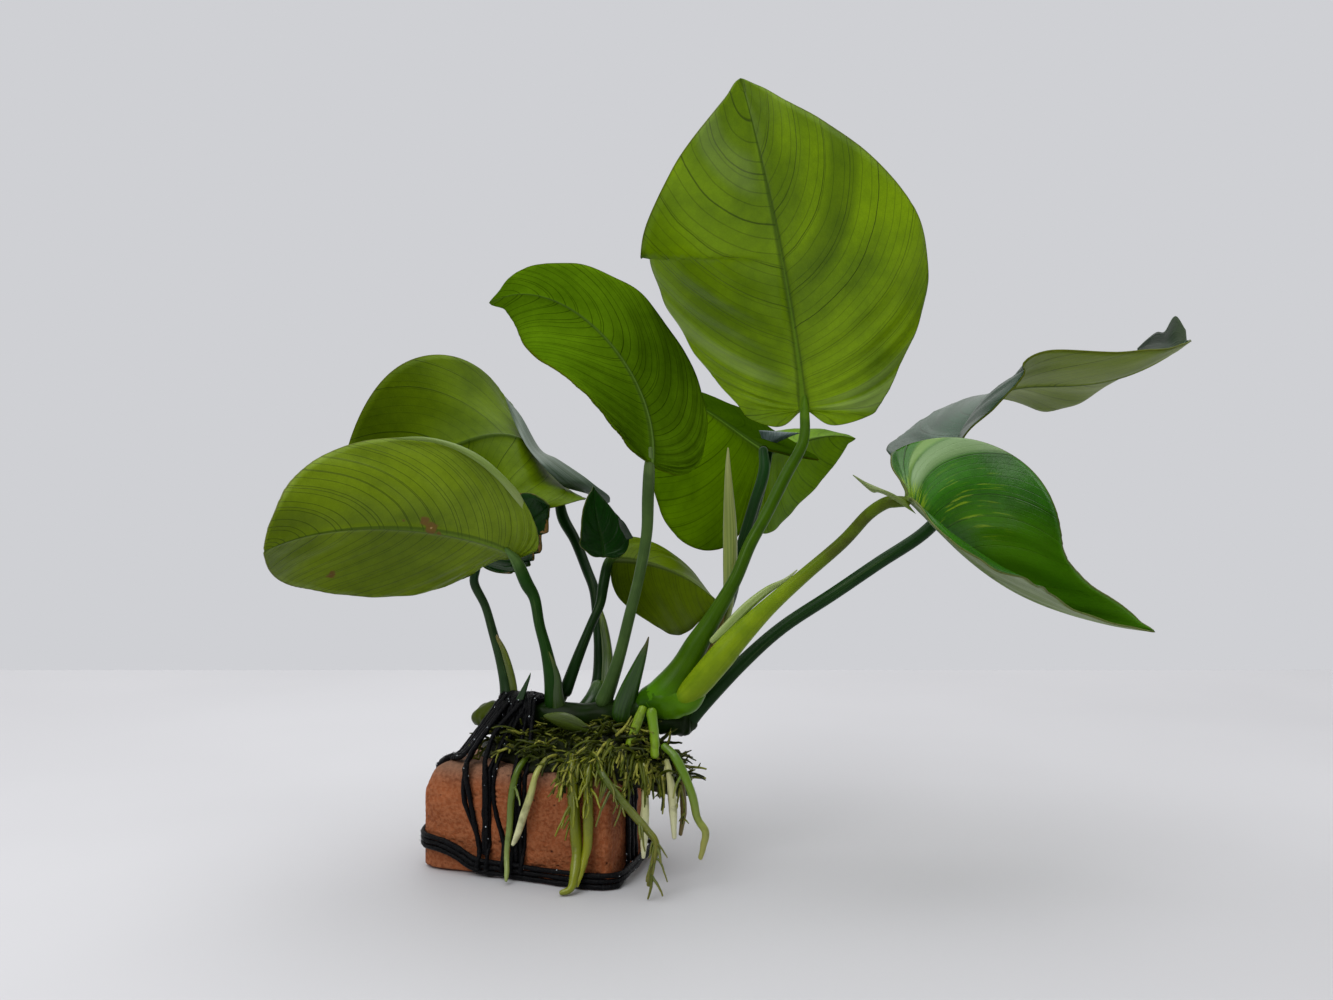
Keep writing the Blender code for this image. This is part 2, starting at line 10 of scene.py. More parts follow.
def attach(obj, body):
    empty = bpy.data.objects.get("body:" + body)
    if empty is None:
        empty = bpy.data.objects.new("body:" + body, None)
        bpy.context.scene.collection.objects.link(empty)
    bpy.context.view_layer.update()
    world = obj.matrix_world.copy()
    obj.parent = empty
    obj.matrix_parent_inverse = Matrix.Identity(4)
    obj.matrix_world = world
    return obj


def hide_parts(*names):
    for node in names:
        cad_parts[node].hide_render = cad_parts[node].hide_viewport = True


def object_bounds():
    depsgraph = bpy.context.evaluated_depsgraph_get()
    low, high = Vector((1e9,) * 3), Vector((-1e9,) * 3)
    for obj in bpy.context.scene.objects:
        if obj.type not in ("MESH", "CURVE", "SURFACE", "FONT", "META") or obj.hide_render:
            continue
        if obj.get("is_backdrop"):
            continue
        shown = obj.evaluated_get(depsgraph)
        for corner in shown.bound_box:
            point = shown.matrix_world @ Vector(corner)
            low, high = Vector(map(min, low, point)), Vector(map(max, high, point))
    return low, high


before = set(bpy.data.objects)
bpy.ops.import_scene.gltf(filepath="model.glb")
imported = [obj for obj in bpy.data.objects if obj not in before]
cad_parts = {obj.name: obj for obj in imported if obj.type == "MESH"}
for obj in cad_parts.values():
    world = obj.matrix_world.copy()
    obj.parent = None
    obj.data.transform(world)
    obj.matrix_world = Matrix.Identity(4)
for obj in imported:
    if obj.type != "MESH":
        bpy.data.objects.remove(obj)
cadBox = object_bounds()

mm = 0.001
print("frame loaded", len(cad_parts), "nodes")


# Small tools

def clamp(value):
    return max(0.0, min(1.0, value))


def smoothStep(low, high, value):
    share = clamp((value - low) / (high - low))
    return share * share * (3 - 2 * share)


def atStation(values, y):  # value at y from the ones at base, middle and tip
    base, middle, tip = values
    return base * 2 * (y - 0.5) * (y - 1) + middle * 4 * y * (1 - y) + tip * 2 * y * (y - 0.5)


def bell(value, middle, width):
    return exp(-((value - middle) / width) ** 2)


def onBlock(along, across, height):  # block coordinates in mm, to the scene's own
    return Matrix.Rotation(block["turn"], 3, "Z") @ Vector((along, across, height))


def hexColour(code):  # sRGB hex to linear
    parts = [int(code[i:i + 2], 16) / 255 for i in (1, 3, 5)]
    return (*[c / 12.92 if c <= 0.04045 else ((c + 0.055) / 1.055) ** 2.4 for c in parts], 1)


def perMetre(size):  # a pattern's scale from the size of its grains in mm
    return 1 / (size * mm)


# What the finishes are made of: type of node, inputs in the order they are given, output
# (None for all of them) and settings
recipes = {
    "place": ("TexCoord", (), "Object", {}),
    "direction": ("TexCoord", (), "Generated", {}),
    "uv": ("UVMap", (), 0, {"uv_map": "UVMap"}),
    "own": ("Attribute", (), "Fac", {}),
    "seen": ("LightPath", (), "Is Camera Ray", {}),
    "axes": ("SeparateXYZ", (0,), None, {}),
    "stretch": ("Mapping", ("Vector", "Scale"), 0, {}),
    "apart": ("VectorMath", (0, 1), "Value", {"operation": "DISTANCE"}),
    "noise": ("TexNoise", ("Vector", "Scale", "Detail"), 0, {}),
    "pores": ("TexVoronoi", ("Vector", "Scale"), 0, {}),
    "net": ("TexVoronoi", ("Vector", "Scale"), 0, {"feature": "DISTANCE_TO_EDGE"}),
    "gaps": ("TexVoronoi", ("W", "Scale", "Randomness"), 0,
             {"voronoi_dimensions": "1D", "feature": "DISTANCE_TO_EDGE"}),
    "rings": ("TexWave", ("Vector", "Scale", "Distortion"), 0, {"bands_direction": "X"}),
    "step": ("MapRange", (0, 1, 2, 3, 4), 0, {"interpolation_type": "SMOOTHSTEP"}),
    "blend": ("Mix", (0, 6, 7), 2, {"data_type": "RGBA"}),
    "bump": ("Bump", ("Height", "Distance", "Strength"), 0, {}),
}
for kind, operation in (("times", "MULTIPLY"), ("timesPlus", "MULTIPLY_ADD"), ("minus", "SUBTRACT"),
                        ("absolute", "ABSOLUTE"), ("power", "POWER"), ("larger", "MAXIMUM"),
                        ("above", "GREATER_THAN")):
    recipes[kind] = ("Math", (0, 1, 2), 0, {"operation": operation})


def addNode(tree, kind, *values, **settings):  # each value is a link, a number or a hex colour
    nodeType, inputs, output, usual = recipes[kind]
    node = tree.nodes.new("ShaderNode" + nodeType)
    for name, value in {**usual, **settings}.items():
        setattr(node, name, value)
    for name, value in zip(inputs, values):
        if isinstance(value, bpy.types.NodeSocket):
            tree.links.new(value, node.inputs[name])
        else:
            value = hexColour(value) if isinstance(value, str) else value
            node.inputs[name].default_value = value
    return node.outputs if output is None else node.outputs[output]


def newFinish(name):  # a material, and addNode for its tree
    finish = bpy.data.materials.new(name)
    finish.use_nodes = True
    return finish, partial(addNode, finish.node_tree)


def paint(add, colour, *layers):  # lays each layer's tint over the colour by its mask
    for mask, tint in layers:
        colour = add("blend", mask, colour, tint)
    return colour


def dress(finish, colour, rough, sheen=None, ior=None, bump=None):
    tree = finish.node_tree
    sockets = tree.nodes["Principled BSDF"].inputs
    tree.links.new(colour, sockets["Base Color"])
    for name, value in (("Roughness", rough), ("Specular IOR Level", sheen), ("IOR", ior)):
        if value is not None:
            sockets[name].default_value = value
    if bump:  # its height, distance and strength
        tree.links.new(addNode(tree, "bump", *bump), sockets["Normal"])
    return finish


def newShape():  # an empty mesh with a UV map
    shape = bmesh.new()
    shape.loops.layers.uv.new("UVMap")
    return shape


def putObject(name, data, place=(0, 0, 0)):
    item = bpy.data.objects.new(name, data)
    item.location = Vector(place) * mm
    bpy.context.collection.objects.link(item)
    return item


def makePiece(name, shape, finishes, slotName, *nodes):
    bmesh.ops.recalc_face_normals(shape, faces=shape.faces)
    mesh = bpy.data.meshes.new(name)
    shape.to_mesh(mesh)
    shape.free()
    mesh.shade_smooth()
    piece = putObject(name, mesh)
    for finish in finishes:
        mesh.materials.append(finish)
    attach(piece, "root")
    if nodes:
        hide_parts(*nodes)


def smoothPath(rows, steps):  # a curve through rows of x, y, z, radius
    rows = [Vector(r) for r in rows]
    ends = [rows[0] * 2 - rows[1]] + rows + [rows[-1] * 2 - rows[-2]]
    path = []
    for i in range(1, len(ends) - 2):
        before, a, b, after = ends[i - 1:i + 3]
        for k in range(steps):
            t = k / steps
            path.append(0.5 * (2 * a + (b - before) * t
                               + (2 * before - 5 * a + 4 * b - after) * t * t
                               + (3 * a - before - 3 * b + after) * t ** 3))
    return path + [rows[-1]]


def roundEnds(path):  # extra stations that close both ends with a dome
    path = [Vector(p) for p in path]
    for end, inner in ((0, 1), (-1, -2)):
        tip = path[end]
        ahead = (tip - path[inner]).xyz.normalized() * tip[3]
        domes = [Vector((*(tip.xyz + ahead * reach), tip[3] * share))
                 for reach, share in ((0.4, 0.85), (0.66, 0.55), (0.75, 0.0))]
        path = list(reversed(domes)) + path if end == 0 else path + domes
    return path


def pathFrames(path, side):  # place, two sideways directions and radius at each station
    frames = []
    for i, row in enumerate(path):
        ahead = (path[min(i + 1, len(path) - 1)] - path[max(i - 1, 0)]).xyz.normalized()
        if side is None:
            side = ahead.orthogonal().normalized()
        side = (side - ahead * ahead.dot(side)).normalized()
        frames.append((row.xyz, side, ahead.cross(side), row[3]))
    return frames


def addTube(shape, path, sides=16, mould=None, side=None):  # sweeps a ring along the path
    path = roundEnds(path)
    frames = pathFrames(path, side)
    stations = len(path) - 1
    made = bmesh.ops.create_grid(shape, x_segments=stations, y_segments=sides, size=1,
                                 calc_uvs=True)
    for vertex in made["verts"]:
        i = round((vertex.co.x + 1) / 2 * stations)
        angle = (vertex.co.y + 1) * pi
        place, right, up, radius = frames[i]
        if mould:
            radius *= mould(i / stations, angle)
        vertex.co = (place + (right * cos(angle) + up * sin(angle)) * radius) * mm
    bmesh.ops.remove_doubles(shape, verts=made["verts"], dist=0.002 * mm)


def makeTube(name, rows, steps, finish, slotName, *nodes, **form):
    shape = newShape()
    addTube(shape, smoothPath(rows, steps), **form)
    makePiece(name, shape, [finish], slotName, *nodes)


# Camera and stage: a level camera, as high as the middle of the leaves

photo = {"place": (41, -372, 116), "focal": 1150, "width": 1333, "sensor": 36}
cameraData = bpy.data.cameras.new("photoCamera")
cameraData.sensor_width = photo["sensor"]
cameraData.lens = photo["focal"] / photo["width"] * photo["sensor"]
cameraData.clip_start = 0.01
camera = putObject("photoCamera", cameraData, photo["place"])
camera.rotation_euler = (radians(90), 0, 0)
bpy.context.scene.camera = camera

stage = {"wall": "#cfd0d4", "floor": "#cacace", "patches": "#c4c4c8", "side": 2500,
         "back": 413, "front": -2600, "below": -0.05}
shape = bmesh.new()
bmesh.ops.create_grid(shape, x_segments=1, y_segments=1, size=1)
for corner in shape.verts:
    depth = stage["back"] if corner.co.y > 0 else stage["front"]
    corner.co = Vector((corner.co.x * stage["side"], depth, stage["below"])) * mm
mesh = bpy.data.meshes.new("floor")
shape.to_mesh(mesh)
shape.free()
finish, add = newFinish("foam board floor")  # painted, matt and nearly even
spots = add("step", add("noise", add("place"), perMetre(333.3), 3), 0.3, 0.7)
mesh.materials.append(dress(finish, add("blend", spots, stage["floor"], stage["patches"]), 0.6))
putObject("floor", mesh)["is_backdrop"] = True

# Studio: an even pale wall to the eye; its light comes from above and behind the plant
studio = {"behind": 0.62, "above": 1.1, "front": 0.2}
world = bpy.data.worlds.new("studio")
bpy.context.scene.world = world
world.use_nodes = True
add = partial(addNode, world.node_tree)
axes = add("axes", add("direction"))
glow = add("larger", add("step", axes["Y"], -0.35, 0.55, studio["front"], studio["behind"]),
           add("step", axes["Z"], 0.35, 0.95, 0, studio["above"]))
light = add("blend", glow, "#000000", "#ffffff")
colour = add("blend", add("seen"), light, stage["wall"])
world.node_tree.links.new(colour, world.node_tree.nodes["Background"].inputs["Color"])
bpy.context.scene.view_settings.view_transform = "Standard"

lamps = {  # place, what it looks at, size in mm, watts
    "overhead": ((-60, 120, 1050), (30, 0, 80), 1300, 6.6),
    "frontFill": ((-400, -700, 750), (40, 0, 110), 600, 3.7),
}
for name, (place, target, size, watts) in lamps.items():
    lampData = bpy.data.lights.new(name, "AREA")
    lampData.size = size * mm
    lampData.energy = watts
    lamp = putObject(name, lampData, place)
    lamp.rotation_euler = (Vector(place) - Vector(target)).to_track_quat("Z", "Y").to_euler()
print("camera and stage done")


# Leaf blades.  Each midrib is a Bezier curve from the stalk to the tip.  Roll turns the
# upper face about it, from facing straight back; half is each half's width; fold bends each
# half up, at base, middle and tip, and curl bends it more towards the margin, at the base and
# from the middle on.  The first half is the right one when the upper face is looked at with
# the tip up.  A band is painted sheen where pale and painted shade where dark, laid along the
# veins: its half (1 or -1), start and end along the blade, share and tint; a streak is its
# middle, reach, lower limit and share; a spot is its middle and radius; a pleat is its start
# along the midrib, its rise to the margin, shift and drop.

leafCut = {"thickness": 0.5, "rows": 120, "columns": 46, "small": 50, "ribPoints": 161,
           "tipPower": 0.7, "arch": 3.6, "veinOut": 0.72, "veinUp": 0.2, "spread": 1.35,
           "veinWidths": (0.025, 0.07), "halfShift": 7.3, "seedStep": 11.3}
usualLeaf = {
    "notch": 6, "upper": ("#2f6a12", "#1c4a0a"), "quilt": 0.3, "mucro": 0.5, "ink": 0.42, "sheen": 0.2,
    "gloss": 0.45, "folded": 0, "pleat": (), "torn": False, "sheenShadeBands": (), "upperSheenBands": (), "streaks": (),
    "spots": ()
}
leaves = {
    "leaf_tall": {
        "rib": ((85.5, 1, 145), (86, 3, 155), (73, -36, 201), (62, -46, 234.5)), "roll": (-15, 25),
        "half": (45, 48), "wide": -0.1, "lobe": (6, 6), "fold": ((25, 12, 0), (10, 10, 20)),
        "curl": ((-15, 45), (50, 0)), "ridge": (1.9, 1.5), "quilt": 0.5, "ripple": 0.8, "mucro": 1,
        "under": ("#83a600", "#628202"), "ribTone": "#527a08", "veins": (11, 36),
        "pleat": (0.5, 0.113, 0.06, 6.5),
        # painted sheen in the pale bands, painted shade in the dark ones
        "sheenShadeBands": ((1, 0.47, 0.52, 0.3, "#a4bc70"), (1, 0.56, 0.6, 0.2, "#4c6c00"),
            (-1, 0.2, 0.25, 0.35, "#a4bc70"), (-1, 0.3, 0.34, 0.25, "#a4bc70"),
            (-1, 0.76, 0.8, 0.45, "#3c5800"), (1, 0.91, 0.93, 0.12, "#b4c490"))},
    "leaf_middle": {
        "rib": ((36, -39, 126.5), (39, -24, 153), (11.5, -33, 184), (-10, -24, 176.5)), "roll": (45, 20),
        "half": (30, 30), "wide": 0, "lobe": (1, 1), "fold": ((-8, -7, 17), (-8, 12, 7)),
        "curl": ((0, -30), (8, 8)), "ridge": (1.5, 1.2), "quilt": 0.35, "ripple": 0.6, "mucro": 3,
        "under": ("#54760a", "#3e5c04"), "ribTone": "#64803c", "veins": (13, 30), "ink": 0.75,
        "sheen": 0},
    "leaf_front_left": {
        "rib": ((-6.5, -5.5, 98), (-14, -15, 106.5), (-60, -14.5, 113), (-70, -54, 102)),
        "roll": (-35, -45), "half": (29, 28), "wide": -0.1, "lobe": (1.5, 1.5),
        "fold": ((10, 3, 20), (-5, 23, 0)), "curl": ((30, -12), (-5, 42)), "ridge": (1.6, 1.2),
        "ripple": 0.6, "under": ("#768e0e", "#5a7006"), "ribTone": "#5c7c20", "veins": (12, 27),
        "ink": 0.62,
        "spots": ((-33.6, -17.8, 109.4, 1.8), (-31.6, -17.2, 107.4, 2.3), (-29.4, -16.6, 105.4, 1.3),
            (-61.6, -20.2, 93.1, 1.8), (-18, -17.4, 119.4, 0.5), (-39.3, -20.4, 109.6, 0.6))},
    "leaf_back_left": {
        "rib": ((0.5, 49, 122), (-12.5, 25, 154), (-30.5, 31.5, 131.5), (-75, 43, 120.5)),
        "roll": (90, -40), "half": (38, 40), "wide": 0.05, "lobe": (4, 4),
        "fold": ((-20, 20, 2), (10, 0, 3)), "curl": ((-25, 50), (10, -10)), "ridge": (1.6, 1),
        "ripple": 0.7, "under": ("#5e7604", "#485e02"), "upper": ("#2a5a28", "#1c4418"),
        "ribTone": "#2c400c", "veins": (8, 30), "ink": 0.25, "sheen": 0.05},
    "leaf_back": {
        "rib": ((73, 9.5, 133), (66, 43.5, 140), (53, 62.5, 155.5), (30.5, 92, 164)), "roll": (-15, -8),
        "half": (44, 31), "wide": 0.15, "lobe": (5, 0), "fold": ((16, 4, 8), (72, 75, 72)),
        "curl": ((13, -4), (2, 6)), "ridge": (1.6, 1.2), "ripple": 0.4, "under": ("#527402", "#3e5c02"),
        "upper": ("#305000", "#203c00"), "ribTone": "#5c7c30", "veins": (8, 34), "sheen": 0, "gloss": 0,
        "folded": 0.75},
    "leaf_back_right": {
        "rib": ((78, 43, 134), (84, 56, 133.5), (99.5, 76, 143.5), (115, 89, 141)), "roll": (8, -2),
        "half": (30, 32), "wide": 0.23, "lobe": (1, 8), "notch": 5, "fold": ((70, 73, 70), (13, 21, 0)),
        "curl": ((0, 2), (-3, 12)), "ridge": (1.4, 1), "quilt": 0.25, "ripple": 0.4, "mucro": 2.5,
        "under": ("#648a02", "#4e7002"), "upper": ("#2c5c30", "#1c4418"), "ribTone": "#38500c",
        "veins": (8, 34), "sheen": 0.02},
    "leaf_low": {
        "rib": ((22.5, 13.5, 96), (34, 20.5, 96), (46, 12, 93), (57, -1, 83.5)), "roll": (0, -13),
        "half": (20.5, 23.5), "wide": -0.25, "lobe": (0, 0), "notch": 3,
        "fold": ((40, 70, 78), (15, 30, 40)), "curl": ((10, 26), (9, 15)), "ridge": (1.1, 0.9),
        "quilt": 0.25, "ripple": 0.3, "under": ("#5e7402", "#485c00"), "upper": ("#1c5014", "#12380a"),
        "ribTone": "#70804c", "veins": (8, 28), "ink": 0.55, "sheen": 0.04},
    "leaf_young": {
        "rib": ((20.5, 3, 97.5), (20, 7, 105.5), (18, 3, 105.5), (17, 5.5, 119.5)), "roll": (200, 215),
        "half": (9, 9), "wide": 0.2, "lobe": (1, 1), "notch": 2, "fold": ((9, 4, 3), (8, 14, 5)),
        "curl": ((6, -3), (8, 18)), "ridge": (0.7, 0.6), "quilt": 0.2, "ripple": 0.2, "mucro": 1,
        "under": ("#2c4c10", "#20380a"), "upper": ("#103808", "#082404"), "ribTone": "#2c4c10",
        "veins": (6, 18), "gloss": 0.15},
    "leaf_drooping": {
        "rib": ((110.5, -42.5, 117), (128.5, -30, 102), (144, -13, 82), (180.5, -37.5, 78)),
        "roll": (145, 165), "half": (31.5, 30.5), "wide": 0.25, "lobe": (7, 7),
        "fold": ((47, 70, 80), (-30, 48, 33)), "curl": ((-10, 0), (5, 42)), "ridge": (1.6, 1.3),
        "quilt": 0.35, "ripple": 0.5, "mucro": 2.5, "under": ("#7c9054", "#64783c"),
        "upper": ("#337404", "#1c4c02"), "ribTone": "#6c8c34", "veins": (8, 40), "gloss": 0.35,
        "streaks": (((131, -31.5, 113.5), 17, 0.56, 0.8), ((112, -40, 118), 9, 0.46, 0.9)),
        # painted sheen: pale bands near the base and a lighter tip on both halves
        "upperSheenBands": ((-1, 0.335, 0.395, 0.75, "#88a470"), (-1, 0.285, 0.305, 0.6, "#90b060"),
            (-1, 0.74, 1.4, 0.6, "#5c9010"), (1, 0.74, 1.4, 0.6, "#5c9010"))},
    "leaf_twisted": {
        "rib": ((136.5, 6, 134), (157.5, 23, 173), (168.5, -6.5, 137), (215.5, 13, 169)),
        "roll": (92, 88), "half": (38, 40), "wide": 0.2, "lobe": (10, 10),
        "fold": ((23, 5, 5), (23, -5, 19)), "curl": ((-48, 17), (12, -12)), "ridge": (1.4, 1),
        "ripple": 0.5, "mucro": 1, "under": ("#6e8022", "#5a6c18"), "upper": ("#30503a", "#243e2c"),
        "ribTone": "#34501c", "veins": (8, 30), "sheen": 0.08},
    "leaf_torn": {
        "rib": ((-21, 5.5, 95.5), (-13, 11, 100.5), (-2, 12, 110.5), (3, 0, 114)), "roll": (150, 165),
        "half": (14, 14.5), "wide": 0.1, "lobe": (0, 0), "notch": 3, "fold": ((8, 9, 6), (5, 5, 5)),
        "curl": ((1, 10), (0, -1)), "ridge": (0.9, 0.8), "quilt": 0.2, "ripple": 0.3,
        "under": ("#2c4c10", "#20380a"), "upper": ("#103808", "#082404"), "ribTone": "#2c4c10",
        "veins": (6, 20), "sheen": 0.05, "gloss": 0.12, "torn": True},
}


def measureRib(leaf):  # points along the midrib, the way there, and its length
    knots = [Vector(p) for p in leaf["rib"]]
    line = geometry.interpolate_bezier(*knots, leafCut["ribPoints"])
    reach = [0.0]
    for a, b in zip(line, line[1:]):
        reach.append(reach[-1] + (b - a).length)
    leaf["line"], leaf["reach"], leaf["length"] = line, reach, reach[-1]


def ribAt(leaf, y):
    wanted = y * leaf["length"]
    line, reach = leaf["line"], leaf["reach"]
    i = max(1, min(len(line) - 1, int(y * (len(line) - 1))))
    while i > 1 and reach[i - 1] > wanted:
        i -= 1
    while i < len(line) - 1 and reach[i] < wanted:
        i += 1
    share = (wanted - reach[i - 1]) / (reach[i] - reach[i - 1])
    before, after = line[max(i - 3, 0)], line[min(i + 2, len(line) - 1)]
    return line[i - 1].lerp(line[i], share), (after - before).normalized()


def bladePoint(leaf, side, x, y, lift=0.0):  # x mm from the midrib, y along it, lift off it
    inside = clamp(y)
    place, ahead = ribAt(leaf, inside)
    place = place + ahead * (y - inside) * leaf["length"]
    back = Vector((0, 1, 0))
    face = (back - ahead * ahead.dot(back)).normalized()
    turn = inside * inside * (3 - 2 * inside)
    roll = radians(leaf["roll"][0] * (1 - turn) + leaf["roll"][1] * turn)
    face = face * cos(roll) + ahead.cross(face) * sin(roll)
    across = ahead.cross(face)
    half = 0 if side > 0 else 1
    base, outer = leaf["curl"][half]
    fold = radians(atStation(leaf["fold"][half], inside))
    curl = radians(atStation((base, outer, outer), inside))
    lean = fold + curl * x / leaf["half"][half]
    if abs(curl) > 0.01:
        bend = leaf["half"][half] / curl
        out = bend * (sin(lean) - sin(fold))
        rise = bend * (cos(fold) - cos(lean))
    else:
        out, rise = x * cos(fold), x * sin(fold)
    lean *= smoothStep(0.0, 1.0, x)  # both halves meet at the midrib
    normal = face * cos(lean) - across * side * sin(lean)
    return place + across * side * out + face * rise + normal * lift


def marginPoint(leaf, side, s):  # the outline at s, from the base (0) to the tip (1)
    angle = pi * s
    half = 0 if side > 0 else 1
    x = leaf["half"][half] * sin(angle) * (1 + leaf["wide"] * cos(angle))
    share = (1 - cos(angle)) / 2
    lobe = leaf["lobe"][half] / leaf["length"]
    y = -lobe + (1 + lobe) * (1 - (1 - share) ** leafCut["tipPower"])
    if s < 0.5:
        y += lobe * exp(-(x / leaf["notch"]) ** 2)
    y += leaf["mucro"] / leaf["length"] * smoothStep(0.96, 1.0, s)
    return x, y


def veinPoint(leaf, side, u, s):  # u of the way out along the side vein that ends at s
    x, y = marginPoint(leaf, side, s)
    start = s ** leafCut["arch"]
    middle = start + leafCut["veinUp"] * (y - start)
    px = 2 * u * (1 - u) * leafCut["veinOut"] * x + u * u * x
    py = (1 - u) ** 2 * start + 2 * u * (1 - u) * middle + u * u * y
    return px, py


def shapedPoint(leaf, side, u, s, under, seed):
    px, py = veinPoint(leaf, side, u, s)
    chart = Vector((s * 5 + seed, side * 2.0, u * 1.5))
    wave = sin(s * leaf["veins"][0] * 2 * pi + 3 * noise.noise(chart))
    lift = leaf["quilt"] * wave * sin(pi * min(1.0, u * 1.15)) * 0.8
    lift += leaf["ripple"] * u ** 3 * 2.2 * noise.noise(Vector((s * 11 + seed, side * 3.0, 0)))
    lift += 0.5 * noise.noise(Vector((px * 0.06, py * 5, seed + side))) * u
    lift *= smoothStep(0.0, 0.03, s) - smoothStep(0.96, 1.0, s)
    if leaf["pleat"] and side > 0:  # the upper part hangs over the lower one
        start, slope, shift, drop = leaf["pleat"]
        crease = start + slope * u
        above = smoothStep(crease - 0.02, crease + 0.02, py)
        fade = clamp((1 - py) / (1 - crease))
        wider = 1.0 + 2.4 * smoothStep(0.58, 0.75, py)
        px += wider * u * above * (1 - smoothStep(0.86, 1.0, py))
        py -= shift * u * above * fade
        lift -= drop * u * above * fade ** 2
    if leaf["torn"] and side > 0:
        bite = max(0.0, noise.noise(Vector((s * 16, 3.7, 0)))) * 0.9
        px *= 1 - bite * u * smoothStep(0.3, 0.45, s)
    rib = leaf["ridge"][0] * (1 - 0.8 * clamp(py))
    ridge = leaf["ridge"][1] * (1 - 0.85 * clamp(py)) * exp(-(px / rib) ** 2)
    ridge *= smoothStep(0.0, 0.02, s)
    half = leafCut["thickness"] / 2
    if under:
        ribShare = exp(-(px / rib / 0.5) ** 4) * (1 - 0.7 * clamp(py))
        return bladePoint(leaf, side, px, py, lift - half - ridge), ribShare
    dip = 0.25 * exp(-(px / rib) ** 2)
    return bladePoint(leaf, side, px, py, lift + half - dip), exp(-(px / rib * 1.6) ** 4)


def leafFinish(name, leaf, under):
    # Anubias leaf: leathery and waxy.  Underside matt and paler with fine darker veins; the
    # upper face dark and glossy.  Veins 2 to 3 mm apart, net of cells about 1 mm.
    light, dark = leaf["under" if under else "upper"]
    finish, add = newFinish(name + (" underside" if under else " upper face"))
    uv, place = add("uv"), add("place")
    axes = add("axes", uv)
    up = axes["Y"]
    right = add("above", axes["X"], 0.5)
    outwards = add("times", add("absolute", add("minus", axes["X"], 0.5)), 2)

    wander = add("noise", place, perMetre(16.67), 2)
    along = add("timesPlus", wander, 0.012, add("power", up, 1.7))  # even at the midrib
    shift = add("times", right, leafCut["halfShift"])  # the two halves' veins don't pair
    lines = []
    for count, width in zip(leaf["veins"], leafCut["veinWidths"]):
        gap = add("gaps", add("timesPlus", along, count, shift), 1, 0.75)
        lines.append(add("step", gap, 0, width, 1, 0))
    main, side = lines
    cells = add("step", add("net", place, perMetre(1.1765)), 0, 0.16, 1, 0)

    broad = add("step", add("noise", place, perMetre(26.32), 3), 0.34, 0.66)
    fine = add("step", add("noise", place, perMetre(2.381), 2), 0.3, 0.7)
    tone = add("timesPlus", fine, 0.2, add("times", broad, 0.8))
    colour = paint(add, light, (tone, dark), (add("times", cells, 0.07), "#1c3000"),
                   (add("times", side, leaf["ink"]), "#1a2c00"),
                   (add("times", main, 0.65), "#162600"))
    # painted sheen and painted shade: pale or dark strips of tint between veins, on one half
    for which, low, high, share, tint in leaf["sheenShadeBands" if under else "upperSheenBands"]:
        soft = 0.012 + 0.3 * (high - low)
        mask = add("times", add("step", up, low - soft, low, 0, share),
                   add("step", up, high, high + soft, 1, 0))
        mask = add("times", mask, add("step", outwards, 0, 0.3))
        there = add("timesPlus", right, which, 0.5 - which / 2)
        colour = paint(add, colour, (add("times", mask, there), tint))
    ridge = add("own", attribute_name="ribShare")
    flank = add("times", add("step", ridge, 0.02, 0.3), add("step", ridge, 0.45, 0.8, 0.5, 0))
    colour = paint(add, colour, (add("times", ridge, 0.8), leaf["ribTone"] if under else light),
                   (flank, "#203400"))

    if under and leaf["folded"]:  # painted shade on the far half, as in the shade of the near one
        far = add("timesPlus", right, -leaf["folded"], leaf["folded"])
        colour = paint(add, colour, (far, "#162c02"))
    if not under and leaf["streaks"]:  # yellow, along the veins, and a star at the stalk
        grain = add("noise", add("stretch", uv, (7, 75, 1)), 1, 3)
        for (x, y, z), reach, low, share in leaf["streaks"]:
            apart = add("apart", place, Vector((x, y, z)) * mm)
            near = add("step", apart, reach * 0.35 * mm, reach * mm, share, 0)
            streak = add("times", add("step", grain, low, low + 0.12), near)
            colour = paint(add, colour, (streak, "#8cac1c"))
    for x, y, z, radius in leaf["spots"]:  # dry brown patches, pale at the middle
        apart = add("apart", place, Vector((x, y, z)) * mm)
        ragged = add("timesPlus", add("noise", place, perMetre(1.4286), 3), 2.4 * mm, apart)
        patch = add("step", ragged, (radius + 0.4) * mm, (radius + 1.2) * mm, 1, 0)
        core = add("step", ragged, radius * 0.5 * mm, (radius * 0.5 + 0.6) * mm, 0.8, 0)
        colour = paint(add, colour, (patch, "#6a5220"), (core, "#b89868"))
    if leaf["torn"]:  # browned where it was bitten
        edge = add("timesPlus", add("noise", place, perMetre(3.3333), 3), 0.4, 0.72)
        brown = add("times", add("step", add("minus", outwards, edge), 0, 0.05),
                    add("step", add("noise", place, perMetre(7.692), 3), 0.47, 0.55))
        colour = paint(add, colour, (brown, "#7c5c34"))
    colour = paint(add, colour, (add("step", outwards, 0.985, 0.996, 0, 0.5), "#4c4a08"))

    raised = 1 if under else -1
    height = add("timesPlus", side, 0.5 * raised, add("times", main, raised))
    height = add("timesPlus", cells, -0.2, height)
    return dress(finish, colour, 0.42 if under else 0.27, leaf["sheen" if under else "gloss"], 1.45,
                 (height, 0.12 * mm, 0.5))


